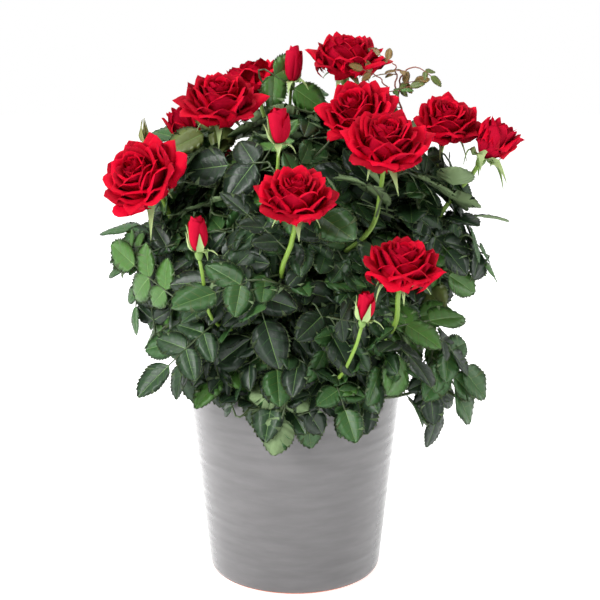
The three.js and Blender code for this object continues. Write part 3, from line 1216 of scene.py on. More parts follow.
    @staticmethod
    def add_sepal(made: Gathered, line: Array, out: Array, length: float, slot: int = 0) -> None:
        """Adds one pointed sepal with a folded middle and two side lobes.

        Args:
            made: Where it is gathered.
            line: Its middle line.
            out: The way out of the flower.
            length: Its length.
            slot: The finish of its outer side. That of its lining and margins follows it.
        """
        ways = unit(np.gradient(line, axis=0))
        share = np.linspace(0, 1, len(line))
        side = unit(np.cross(ways, out))
        normal = np.cross(side, ways)
        breadth = 0.16 * length * np.interp(share, [0, 0.2, 0.5, 0.8, 1], [0.75, 1, 0.72, 0.3, 0.03])
        breadth = breadth * (1 + 0.5 * np.exp(-(((share - 0.42) / 0.05) ** 2)))
        rows = [
            line + side * (hand * breadth)[:, None] + normal * (abs(hand) ** 2 * breadth * 0.3)[:, None]
            for hand in (-1, -0.72, 0, 0.72, 1)
        ]
        count, pale = len(line), slot + 1
        for sunk, flip, face in ((0.0, False, pale), (0.3 * MM, True, slot)):
            points = np.concatenate([row - normal * sunk * (0 < i < 4) for i, row in enumerate(rows)])
            bands = [strip_quads(count - 1, band * count, (band + 1) * count, flip) for band in range(4)]
            made.add(points, bands, (pale, face, face, pale))


@dataclass
class Flowers:
    """All the blooms and buds, joined by kind."""

    seed: int = 40
    per_piece: int = 5  # How many flowers' petals are joined in one piece

    def seats(self) -> list[Seat]:
        """Reads where each flower sits."""
        return [
            Seat.read(name, facing, 0.5 if Opening.of(name) is Opening.BUD else 0.55)
            for name, facing in FACINGS.items()
        ]

    def build(self, seats: list[Seat]) -> list[Piece]:
        """Makes the petals in a few pieces, and the hips and sepals in one.

        Args:
            seats: Where the flowers sit.

        Returns:
            The pieces.
        """
        rng = np.random.default_rng(self.seed)
        blooms = [Bloom(seat, Opening.of(seat.name), self.seed + i) for i, seat in enumerate(seats)]
        pieces = []
        green = Gathered()
        for start in range(0, len(blooms), self.per_piece):
            petals = Gathered()
            some = blooms[start : start + self.per_piece]
            for bloom in some:
                bloom.add_petals(petals)
                bloom.add_greenery(green, rng)
            piece = petals.piece(f"petals_{start // self.per_piece + 1}", PETAL_FINISHES)
            settle(piece, "petal", *(b.seat.name for b in some))
            pieces.append(piece)
        sepals = green.piece("hips_and_sepals", (SEPAL, SEPAL_LINING))
        settle(sepals, "stalk")
        return [*pieces, sepals]


# ---- leaves ----


# Half the width of a side vein, along a leaflet of unit length.
VEIN = np.array([0.0, 0.006, 0.0])


class Part(Enum):
    """The parts of a leaflet that may have finishes of their own."""

    FACE = "face"
    RIB = "rib"
    BACK = "back"
    TEETH = "teeth"
    VEIN = "vein"


@dataclass(frozen=True)
class Leaflet:
    """One toothed, quilted leaflet of unit length, lying along +Y with its face to +Z."""

    teeth: int = 12  # Teeth on each side
    half_width: float = 0.34  # Half its breadth
    tooth: float = 0.05  # How far its teeth stand out
    fold: float = 0.3  # How steeply its halves rise from the rib
    droop: float = 0.5  # How far it bends down from foot to tip, in radians
    quilt: float = 0.022  # How far it puffs up between its side veins
    wave: float = 0.02  # How far its margin waves
    phase: float = 0.0  # Where those waves start

    def shape(self) -> Pattern:
        """The leaflet's points, and its faces by part."""
        n = self.teeth
        y = np.linspace(0, 1, n + 1)
        half = self.half_width * y**0.52 * (1 - y) ** 0.74 / 0.426
        half[0], half[-1] = 0.03, 0.006
        rib_y = np.clip(y - 0.55 * half, 0, 1)
        rib_x = 0.009 * (1 - 0.8 * y) + 0.0015
        tip_y = y[:-1] + 0.86 / n
        tip_half = np.interp(tip_y, y, half) + self.tooth * np.sin(math.pi * (0.15 + 0.8 * y[:-1])) ** 0.5
        puff = self.quilt * np.where(np.arange(n + 1) % 2, 1.0, 0.0) * half / self.half_width * 2
        zero = np.zeros(n + 1)
        rib = np.stack([zero, rib_y, zero - 0.006], axis=1)
        keel = np.stack([zero, rib_y, zero - 0.028 * (1 - 0.7 * y)], axis=1)
        points, parts = [rib, keel], []
        for hand in (1, -1):
            edge = np.stack([hand * rib_x, rib_y, zero], axis=1)
            mid = np.stack([hand * (rib_x + half) / 2, (rib_y + y) / 2, puff], axis=1)
            rim = np.stack([hand * half, y, self.lift(y)], axis=1)
            tips = np.stack([hand * tip_half, tip_y + 0.2 / n, self.lift(tip_y)], axis=1)
            points += [edge, mid, rim, tips]
        k, row = n + 1, np.arange(n)
        valleys = np.arange(2, n, 2)
        m = len(valleys)
        start = 2 * k + 2 * (3 * k + n)
        for flip, (edge, mid, rim) in ((False, points[2:5]), (True, points[6:9])):
            a, b, c = edge[valleys], mid[valleys], (mid + (rim - mid) * 0.85)[valleys]
            veins = np.concatenate([a - VEIN, a + VEIN, b - VEIN * 0.7, b + VEIN * 0.7, c]) + [0, 0, 0.005]
            v = start + np.arange(m)
            quads = np.stack([v, v + 2 * m, v + 3 * m, v + m], axis=1)
            ends = np.stack([v + 2 * m, v + 4 * m, v + 3 * m], axis=1)
            parts += [(flipped(quads, flip), Part.VEIN), (flipped(ends, flip), Part.VEIN)]
            points.append(veins)
            start += len(veins)
        for side, left in enumerate((False, True)):
            edge, mid = 2 * k + side * (3 * k + n), 3 * k + side * (3 * k + n)
            rim, tips = mid + k, mid + 2 * k
            saw = flipped(np.stack([row + rim, row + tips, row + rim + 1], axis=1), left)
            parts += [
                (strip_quads(n, 0, edge, left), Part.RIB),
                (strip_quads(n, edge, mid, left), Part.FACE),
                (strip_quads(n, mid, rim, left), Part.FACE),
                (saw, Part.TEETH),
                (strip_quads(n, k, rim, not left), Part.BACK),
                (flipped(saw), Part.BACK),
            ]
        return self.bent(np.concatenate(points)), parts

    def lift(self, at: Array) -> Array:
        """How far the margin is lifted at a share along it."""
        return self.wave * np.sin(11 * at + self.phase) * np.sin(math.pi * at)

    def bent(self, flat: Array) -> Array:
        """The leaflet folded along its rib and bent down along its length."""
        x, y, z = flat.T
        z = z + np.tan(self.fold) * (np.sqrt(x * x + 0.03**2) - 0.03)
        angle = self.droop * y
        run = np.where(abs(self.droop) > 1e-4, np.sin(angle) / self.droop, y)
        fall = np.where(abs(self.droop) > 1e-4, (1 - np.cos(angle)) / self.droop, 0 * y)
        return np.stack([x, run + z * np.sin(angle), z * np.cos(angle) - fall], axis=1)


@dataclass(frozen=True)
class Habit:
    """How the leaves of one mass are made and laid."""

    tones: tuple[float, ...] = (0.48, 0.34, 0.14, 0.04, 0.0, 0.0)  # How the leaf tones are dealt out
    blade: tuple[float, float] = (21 * MM, 33 * MM)  # The length of a top leaflet, lowest and highest
    spacing: float = 28 * MM  # How far apart leaf tips are
    pairs: tuple[int, ...] = (1, 2, 2)  # How many pairs of side leaflets a leaf may have
    droop: float = 0.5  # How much the leaves hang
    spread: float = 0.5  # How much they point away from the middle of the plant
    outward: float = 0.8  # How much their faces turn out of the mass, rather than up
    inner: float = 0.55  # Leaves inside the mass for each one on its outside
    # How far in and out of the mass's outside leaf tips lie
    depth: tuple[float, float] = (-19 * MM, 5 * MM)
    # How much the faces turn to the front and the back, rather than out along the arm
    broadside: float = 0.0


ARM = Habit(
    (0.14, 0.34, 0.38, 0.12, 0.01, 0.01), blade=(20 * MM, 30 * MM), spacing=23 * MM, pairs=(1, 1, 2),
    droop=0.1, spread=1.1, outward=0.2, inner=0.3, depth=(-9 * MM, 3 * MM), broadside=0.8,
)
RIGHT_ARM = replace(ARM, tones=(0.06, 0.22, 0.42, 0.27, 0.02, 0.01))
APRON = Habit((0.3, 0.36, 0.27, 0.07, 0, 0), spacing=26 * MM, droop=0.8)
TOP = Habit((0.22, 0.34, 0.27, 0.15, 0.01, 0.01), spacing=24 * MM, droop=-0.1, spread=0.3, outward=0.9)
SPRAY = Habit(
    (0.2, 0.4, 0.3, 0.1, 0, 0), spacing=34 * MM, pairs=(1, 1, 2), droop=0.9, inner=0.0, broadside=0.5
)
HABITS = {
    "foliage_top_middle": TOP,
    "foliage_top_left": TOP,
    "foliage_top_right": TOP,
    "foliage_left_arm": ARM,
    "foliage_right_arm": RIGHT_ARM,
    "foliage_left_low": ARM,
    "foliage_apron_left": APRON,
    "foliage_apron_middle": APRON,
    "foliage_apron_right": APRON,
    "foliage_spray_right": SPRAY,
}


@dataclass(frozen=True)
class Leaf:
    """One compound leaf, worked out and ready to be made."""

    run: Array  # The line of its stalk, from where it leaves the twig to the top leaflet's foot
    leaflets: list[tuple[Array, Array, float]]  # Each leaflet's foot, axes as columns, and length

    def spots(self) -> Array:
        """Points spread over the leaf, to be tested against what it must keep clear of."""
        along = [o + axes[:, 1] * s * share for o, axes, s in self.leaflets for share in (0.25, 0.55, 0.9)]
        across = [
            o + axes[:, 1] * s * 0.45 + hand * axes[:, 0] * s * 0.33
            for o, axes, s in self.leaflets
            for hand in (-1, 1)
        ]
        return np.array(along + across)

    def moved(self, offset: Array) -> "Leaf":
        """The same leaf somewhere else."""
        return Leaf(self.run + offset, [(o + offset, axes, s) for o, axes, s in self.leaflets])

    def tips(self) -> Array:
        """The tips of its leaflets."""
        return np.array([o + axes[:, 1] * s for o, axes, s in self.leaflets])


@dataclass
class Crown:
    """The foliage: shoots that fork from the canes into each mass, twigs, and compound leaves."""

    wood: Skeleton  # The wood that twigs start from
    # The flower stalks, which carry leaves of their own, and where they come out
    stems: list[tuple[Array, Array]]
    seats: list[Seat]  # The flowers that leaves keep clear of
    pot: Pot  # The pot that leaves hang over
    seed: int = 77
    tries: int = 18  # How often a leaf is laid again before it is given up
    choices: int = 3  # How many good layings are compared
    gap: float = 1.5 * MM  # How far leaves keep from the flowers and the pot
    proud: float = 7 * MM  # How far a leaf may stand out of the masses
    stem_proud: float = 34 * MM  # How far a leaf on a flower stalk may
    shoot_spacing: float = 30 * MM  # How far apart the ends of hidden shoots are
    reaching: int = 3  # How many leaves point out of each mass each way
    # Where the leaves of a flower stalk stand, as shares of its length
    on_stem: tuple[float, ...] = (0.42, 0.5, 0.6, 0.72)
    # A hidden shoot's radius at its foot and its tip, in millimetres
    shoot: tuple[float, float] = (1.35, 0.95)
    twig: tuple[float, float] = (0.95, 0.65)  # A twig's radius at its foot and its tip, in millimetres
    leafstalk: tuple[float, float] = (0.65, 0.45)  # The same of a leaf's stalk
    per_piece: int = 150_000  # The most triangles in a joined piece of leaves

    # The mass, where the tip hangs across the front, how far below the rim, and whether the back shows.
    OVER_RIM = (
        ("foliage_apron_left", -30, 15, False),
        ("foliage_apron_middle", -13, 30, True),
        ("foliage_apron_middle", 12, 30, False),
        ("foliage_apron_right", 42, 33, False),
    )
    # The mass, where the tip is, the way that the leaf grows, its tone, and its top leaflet's length.
    BY_BLOOMS = (
        ("foliage_top_left", (-88, 6, 299), (-0.9, -0.35, -0.25), Tone.YOUNG, 28),
        ("foliage_top_middle", (23, 24, 322), (0.85, -0.1, -0.5), Tone.FRESH, 27),
    )

    def __post_init__(self) -> None:
        """Reads the masses, and cuts the leaflet patterns."""
        self.rng = np.random.default_rng(self.seed)
        names = [name for name in nodes_named("foliage_") if name not in YOUNG_MASSES]
        self.masses = {name: self.tree(name) for name in names}
        self.patterns = [self.pattern(11) for _ in range(10)]
        self.plain_patterns = [self.pattern(6) for _ in range(4)]
        self.slim_patterns = [self.pattern(8, 0.66) for _ in range(4)]
        self.twigs = Gathered()
        self.blades = {name: Gathered() for name in self.masses}
        self.laid = 0

    def pattern(self, teeth: int, breadth: float = 1.0) -> Pattern:
        """Cuts one leaflet pattern with a given number of teeth, and a share of the usual breadth."""
        rng = self.rng
        return Leaflet(
            teeth=teeth,
            half_width=rng.uniform(0.34, 0.43) * breadth,
            fold=rng.uniform(0.03, 0.24),
            droop=rng.uniform(0.0, 0.4),
            wave=rng.uniform(0.01, 0.035),
            phase=rng.uniform(0, 6),
        ).shape()

    @staticmethod
    def tree(name: str) -> BVHTree:
        """A mass of foliage, ready to be measured to."""
        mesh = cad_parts[name].data
        return BVHTree.FromPolygons([v.co for v in mesh.vertices], [p.vertices for p in mesh.polygons])

    @staticmethod
    def outside_by(point: Array, masses: list[BVHTree]) -> float:
        """How far a point lies outside the nearest mass, below zero inside it."""
        best = 1.0
        for tree in masses:
            place, normal, _, distance = tree.find_nearest(Vector(point))
            side = 1 if (Vector(point) - place).dot(normal) > 0 else -1
            best = min(best, side * distance)
        return best

    def clear(self, points: Array) -> bool:
        """Whether points keep clear of the flowers, the pot and the outside of the model's box."""
        if any(seat.covers(points, self.gap / 3).any() for seat in self.seats):
            return False
        radial = np.hypot(points[:, 0], points[:, 1])
        low = points[:, 2] < self.pot.height + self.gap
        if (low & (radial < self.pot.outside(points[:, 2]) + self.gap)).any():
            return False
        least, most = (np.array(corner) for corner in CAD_BOX)
        return bool((points > least - self.proud).all() and (points < most + self.proud).all())

    def scattered(self, name: str, spacing: float, clear_of: float) -> list[tuple[Array, Array]]:
        """Places spread evenly over the outside of a mass, where no other mass covers it.

        Args:
            name: The mass.
            spacing: How far apart the places are.
            clear_of: How far outside every other mass they lie.

        Returns:
            The places, each with the unit way out of the mass there.
        """
        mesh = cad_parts[name].data
        points = node_points(name)
        mesh.calc_loop_triangles()
        corners = np.array([t.vertices for t in mesh.loop_triangles])
        a, b, c = (points[corners[:, i]] for i in range(3))
        normals = np.cross(b - a, c - a)
        areas = np.linalg.norm(normals, axis=1) / 2
        others = [tree for other, tree in self.masses.items() if other != name]
        kept: list[tuple[Array, Array]] = []
        for _ in range(int(9 * areas.sum() / spacing**2)):
            pick = self.rng.choice(len(areas), p=areas / areas.sum())
            s, t = sorted(self.rng.random(2))
            place = a[pick] * s + b[pick] * (t - s) + c[pick] * (1 - t)
            if any(np.linalg.norm(place - other) < spacing for other, _ in kept):
                continue
            if others and self.outside_by(place, others) < clear_of:
                continue
            kept.append((place, unit(normals[pick])))
        return kept

    def grow_shoots(self) -> None:
        """Grows the hidden shoots that fork from the canes into every mass."""
        ends = []
        for name in self.masses:
            middle = node_points(name).mean(axis=0)
            ends.append(middle)
            ends += [between(middle, p, 0.52) for p, _ in self.scattered(name, self.shoot_spacing, -6 * MM)]
        heart = np.array([0, 0, self.pot.height])
        for end in sorted(ends, key=lambda e: float(np.linalg.norm(e - heart))):
            start, wood_way, distance = self.wood.fork(end, 0.6)
            if distance >= 8 * MM:
                ahead = unit(end - start)
                out, into = unit(0.4 * wood_way + ahead), unit(ahead + 0.25 * UP)
                self.add_twig(bow(start, out, end, into, max(5, int(distance / (6 * MM)))), self.shoot, 6)

    def add_twig(self, line: Array, ends: tuple[float, float], sides: int) -> None:
        """Makes a twig of living wood, which others may then start from.

        Args:
            line: Its middle.
            ends: Its radius at its foot and its tip, in millimetres.
            sides: How many sides it has.
        """
        self.twigs.add(*sweep(line, np.linspace(*ends, len(line)) * MM, sides))
        self.wood.add(line[1:])

    def lay(
        self, name: str, place: Array, out: Array, outer: bool = True, ahead: Array | None = None,
        habit: Habit | None = None,
    ) -> None:
        """Lays one compound leaf whose tip reaches a place, and picks the best of some good tries.

        Args:
            name: The mass that it belongs to.
            place: Where its tip reaches.
            out: The way out of the mass there.
            outer: Whether it is on the outside.
            ahead: The way that it must point, if that is given.
            habit: How it is laid, if not in the mass's own way.
        """
        rng = self.rng
        habit = habit or HABITS.get(name, Habit())
        every = list(self.masses.values())
        found: list[tuple[float, Leaf]] = []
        side_on = unit(place * [0.25, 1, 0] - [0, 30 * MM, 0]) * habit.broadside
        radial = unit(place * [1, 1, 0] + 1e-6)
        out = out - 2 * min(0.0, float(out @ radial)) * radial
        for attempt in range(self.tries):
            level = np.maximum(out, [-1, -1, 0]) * habit.outward
            sun = unit(level + side_on + 0.3 * radial + 0.5 * UP + rng.normal(size=3) * 0.34)
            slant = rng.uniform(1.0, 1.55)
            aside = square_to(sun, rng.normal(size=3) * 0.8 - UP * habit.droop + radial * habit.spread)
            if ahead is not None:
                slant = math.pi / 2
                aside = square_to(sun, ahead + rng.normal(size=3) * 0.25)
            way = unit(sun * math.cos(slant) + aside * math.sin(slant))
            face = square_to(way, sun)
            blade = rng.uniform(*habit.blade) * (1 - 0.02 * attempt)
            tip = place + out * (rng.uniform(*habit.depth) if ahead is None else -5 * MM)
            leaf = self.compound(tip, way, face, blade, int(rng.choice(habit.pairs)))
            stands_out = max(self.outside_by(tip, every) for tip in leaf.tips())
            if stands_out <= self.proud and self.clear(leaf.spots()):
                found.append((self.wood.fork(leaf.run[0])[2], leaf))
                if len(found) == self.choices:
                    break
        if found:
            self.grow(name, habit, min(found, key=lambda f: f[0])[1], outer)

    def compound(self, tip: Array, way: Array, face: Array, blade: float, pairs: int) -> Leaf:
        """Works out one compound leaf.

        Args:
            tip: Where its top leaflet ends.
            way: The way that it grows.
            face: The way that it faces.
            blade: The length of its top leaflet.
            pairs: How many pairs of side leaflets it has.

        Returns:
            The leaf.
        """
        rng = self.rng
        petiole = blade * rng.uniform(0.25, 0.45)
        gap = blade * rng.uniform(0.52, 0.62)
        length = petiole + gap * pairs
        steps = 4 + 2 * pairs
        bend = rng.uniform(0.0, 0.3) / steps
        side = np.cross(way, face)
        line, ways, faces = [tip - way * (length + blade)], [way], [face]
        for _ in range(steps):
            way = turned_about(way, side, -bend)
            face = turned_about(face, side, -bend)
            line.append(line[-1] + way * length / steps)
            ways.append(way)
            faces.append(face)
        run = np.array(line)
        leaflets = []
        for pair in range(pairs):
            at = min(int(round((petiole + gap * pair) / length * steps)), steps)
            for hand in (1, -1):
                splay = rng.uniform(0.95, 1.25)
                sideways = hand * side * math.sin(splay) - faces[at] * rng.uniform(-0.05, 0.2)
                toward = unit(ways[at] * math.cos(splay) + sideways)
                facing = square_to(toward, faces[at] + rng.normal(size=3) * 0.14)
                size = blade * rng.uniform(0.74, 0.94) * (0.9 if pair == 0 and pairs > 1 else 1)
                leaflets.append((run[at], axes_of(toward, facing), size))
        facing = square_to(ways[-1], faces[-1] + rng.normal(size=3) * 0.1)
        leaflets.append((run[-1], axes_of(ways[-1], facing), blade))
        return Leaf(run, leaflets)

    def grow(self, name: str, habit: Habit, leaf: Leaf, outer: bool = True) -> None:
        """Makes a leaf, and the twig that carries it.

        Args:
            name: The mass that it belongs to.
            habit: How its leaves are laid.
            leaf: The leaf.
            outer: Whether it is on the outside. A leaf inside takes the deepest green as painted shade.
        """
        rng = self.rng
        base = leaf.run[0]
        way = unit(leaf.run[1] - base)
        face = leaf.leaflets[-1][1][:, 2]
        start, wood_way, distance = self.wood.fork(base - face * 6 * MM)
        if distance > 7 * MM:
            ahead = unit(base - start)
            out, into = unit(ahead + 0.3 * wood_way), unit(way + 0.4 * ahead)
            self.add_twig(bow(start, out, base, into, max(5, int(distance / (5 * MM)))), self.twig, 5)
        self.twigs.add(*sweep(leaf.run, np.linspace(*self.leafstalk, len(leaf.run)) * MM, 5))
        tone = int(rng.choice(len(Tone), p=np.array(habit.tones) / sum(habit.tones)))
        # A leaf inside the mass takes the deepest green: painted shade for the dark inside of the crown.
        if not outer:
            tone = int(Tone.DEEP)
        patterns = self.patterns if outer else self.plain_patterns
        back = YOUNG_BACK_SLOT if tone == Tone.BRONZE else BACK_SLOT
        vein = min(tone + 2, int(Tone.YOUNG))
        for leaflet in leaf.leaflets:
            pattern = patterns[int(rng.integers(len(patterns)))]
            add_leaflet(self.blades[name], pattern, leaflet, tone, back, MARGIN_SLOT, vein)
        self.laid += 1

    def reaches(self, name: str) -> list[tuple[Array, Array]]:
        """The furthest tips of a mass: outward from the plant, and downward or upward where it goes so.

        Args:
            name: The mass.

        Returns:
            Each tip, with the unit way that a leaf there points.
        """
        points = node_points(name)
        middle = points.mean(axis=0)
        outward = unit(middle * [1, 1, 0] + UP * 0.1 * self.pot.rim_radius)
        ways = [outward]
        if points[:, 2].min() < self.pot.height and np.hypot(*middle[:2]) > 1.15 * self.pot.rim_radius:
            ways.append(unit(0.2 * outward - UP))
        if middle[2] > 2 * self.pot.height - 30 * MM:
            ways.append(unit(outward + 0.8 * UP))
        kept: list[tuple[Array, Array]] = []
        for way in ways:
            order = np.argsort(-(points @ way))
            found = 0
            for point in points[order[: len(order) // 3]]:
                apart = all(np.linalg.norm(point - other) > 15 * MM for other, _ in kept)
                if found < self.reaching and apart:
                    kept.append((point, unit(way + 0.7 * unit(point - middle))))
                    found += 1
        return kept

    def lay_over_rim(self) -> None:
        """Lays the few long leaves that hang in front of the pot, one of them showing its pale back."""
        habit = Habit((0, 0.4, 0.5, 0.1, 0, 0), blade=(24 * MM, 29 * MM))
        for name, x, drop, back in self.OVER_RIM:
            z = self.pot.height - drop * MM
            y = -math.sqrt(self.pot.outside(z) ** 2 - (x * MM) ** 2) - (18 if back else 12) * MM
            tip = np.array([x * MM, y, z])
            way = unit(np.array([x * 0.012, -0.12, -1.0]))
            face = square_to(way, np.array([x * 0.01, -1.0, 0.25]) * (-1 if back else 1))
            for _ in range(self.tries):
                leaf = self.compound(tip, way, face, self.rng.uniform(*habit.blade), 1)
                if self.clear(leaf.spots()):
                    self.grow(name, habit, leaf)
                    break

    def lay_by_blooms(self) -> None:
        """Lays the two large leaves that stand out beside the upper blooms."""
        for name, tip, way, tone, blade in self.BY_BLOOMS:
            habit = Habit(tuple(float(other == tone) for other in Tone))
            way = unit(np.array(way))
            face = square_to(way, np.array([0, -0.8, 0.6]))
            self.grow(name, habit, self.compound(np.array(tip) * MM, way, face, blade * MM, 1))

    def lay_on_stems(self) -> None:
        """Lays leaves up the flower stalks, and three that hide where each stalk comes out."""
        for stem, exit_at in self.stems:
            near = min(self.masses, key=lambda name: self.outside_by(exit_at, [self.masses[name]]))
            self.lay_round_exit(near, exit_at)
            self.lay_up_stem(near, stem)

    def lay_round_exit(self, name: str, exit_at: Array) -> None:
        """Lays three leaves round the place where a flower stalk comes out.

        Args:
            name: The mass that they belong to.
            exit_at: Where the stalk comes out.
        """
        away = unit(exit_at * [1, 1, 0])
        out = unit(exit_at * [1, 1, 0] + 0.3 * UP * np.linalg.norm(exit_at))
        for side in (-1, 0, 1):
            around = np.cross(UP, away) * side
            place = exit_at + around * 8 * MM + out * 8 * MM - UP * 15 * MM
            self.lay(name, place, out, True, unit(0.5 * side * around - UP + 0.2 * out), Habit())

    def lay_up_stem(self, name: str, stem: Array) -> None:
        """Lays leaves up a flower stalk.

        Args:
            name: The mass that they belong to.
            stem: The stalk's line, upward.
        """
        rng = self.rng
        every = list(self.masses.values())
        ways = unit(np.gradient(stem, axis=0))
        for share in self.on_stem:
            at = int(share * len(stem))
            for _ in range(self.tries):
                side = square_to(ways[at], rng.normal(size=3) - UP * 0.2)
                way = unit(side + ways[at] * rng.uniform(0.1, 0.7))
                face = square_to(way, UP + rng.normal(size=3) * 0.3 + 0.5 * unit(stem[at] * [1, 1, 0]))
                blade, pairs = rng.uniform(22, 32) * MM, int(rng.integers(1, 3))
                leaf = self.compound(stem[at], way, face, blade, pairs)
                leaf = leaf.moved(stem[at] - leaf.run[0])
                reach = max(self.outside_by(p, every) for p in leaf.tips())
                if self.clear(leaf.spots()) and reach < self.stem_proud:
                    self.grow(name, TOP, leaf)
                    break

    def build(self) -> list[Piece]:
        """Grows the whole crown.

        Returns:
            Its pieces.
        """
        self.grow_shoots()
        wanted = self.wanted()
        for each in wanted:
            self.lay(*each)
        for name in self.masses:
            for place, ahead in self.reaches(name):
                self.lay(name, place, ahead, True, ahead)
        self.lay_over_rim()
        self.lay_on_stems()
        self.lay_by_blooms()
        log.info("%d leaves, %d of them wanted by the masses", self.laid, len(wanted))
        pieces = []
        batch, names = Gathered(), []
        for name, blades in self.blades.items():
            if batch.count and batch.triangles() + blades.triangles() > self.per_piece:
                pieces.append(self.leaf_piece(len(pieces) + 1, batch, names))
                batch, names = Gathered(), []
            batch.take(blades)
            names.append(name)
        pieces.append(self.leaf_piece(len(pieces) + 1, batch, names))
        twigs = self.twigs.piece("twigs_and_leaf_stalks", (TWIG,))
        settle(twigs, "stalk")
        return [*pieces, twigs]

    def wanted(self) -> list[tuple[str, Array, Array, bool]]:
        """The leaves that the masses want, the innermost first.

        Returns:
            Of each leaf its mass, where its tip reaches, the way out there, and whether it is outside.
        """
        wanted = []
        for name in self.masses:
            habit = HABITS.get(name, Habit())
            middle = node_points(name).mean(axis=0)
            for place, out in self.scattered(name, habit.spacing, 3 * MM):
                wanted.append((name, place, out, True))
                if self.rng.random() < habit.inner:
                    inside = place + (middle - place) * self.rng.uniform(0.35, 0.6)
                    wanted.append((name, inside, out, False))
        heart = np.array([0, 0, self.pot.height + 0.05])
        wanted.sort(key=lambda leaf: float(np.linalg.norm(leaf[1] - heart)))
        return wanted

    @staticmethod
    def leaf_piece(number: int, batch: Gathered, names: list[str]) -> Piece:
        """Joins the leaves of some masses in one piece.

        Args:
            number: The piece's number.
            batch: The leaves.
            names: The masses that they stand for.

        Returns:
            The piece.
        """
        piece = batch.piece(f"leaves_{number}", LEAF_FINISHES)
        settle(piece, "leaf", *names)
        return piece


def add_leaflet(
    made: Gathered, pattern: Pattern, leaflet: Placing, tone: int, back: int, teeth: int, vein: int
) -> None:
    """Adds one leaflet to a mesh.

    Args:
        made: Where it is gathered.
        pattern: Its pattern's points, and its faces by part.
        leaflet: Its foot, its axes as columns, and its length.
        tone: The finish of its face.
        back: The finish of its back.
        teeth: The finish of its teeth.
        vein: The finish of its side veins.
    """
    origin, axes, size = leaflet
    points, parts = pattern
    slots = {Part.FACE: tone, Part.RIB: RIB_SLOT, Part.BACK: back, Part.TEETH: teeth, Part.VEIN: vein}
    faces = [group for group, _ in parts]
    made.add(points * size @ axes.T + origin, faces, [slots[part] for _, part in parts])


YOUNG_MASSES = ("foliage_shoot", "foliage_sprig")


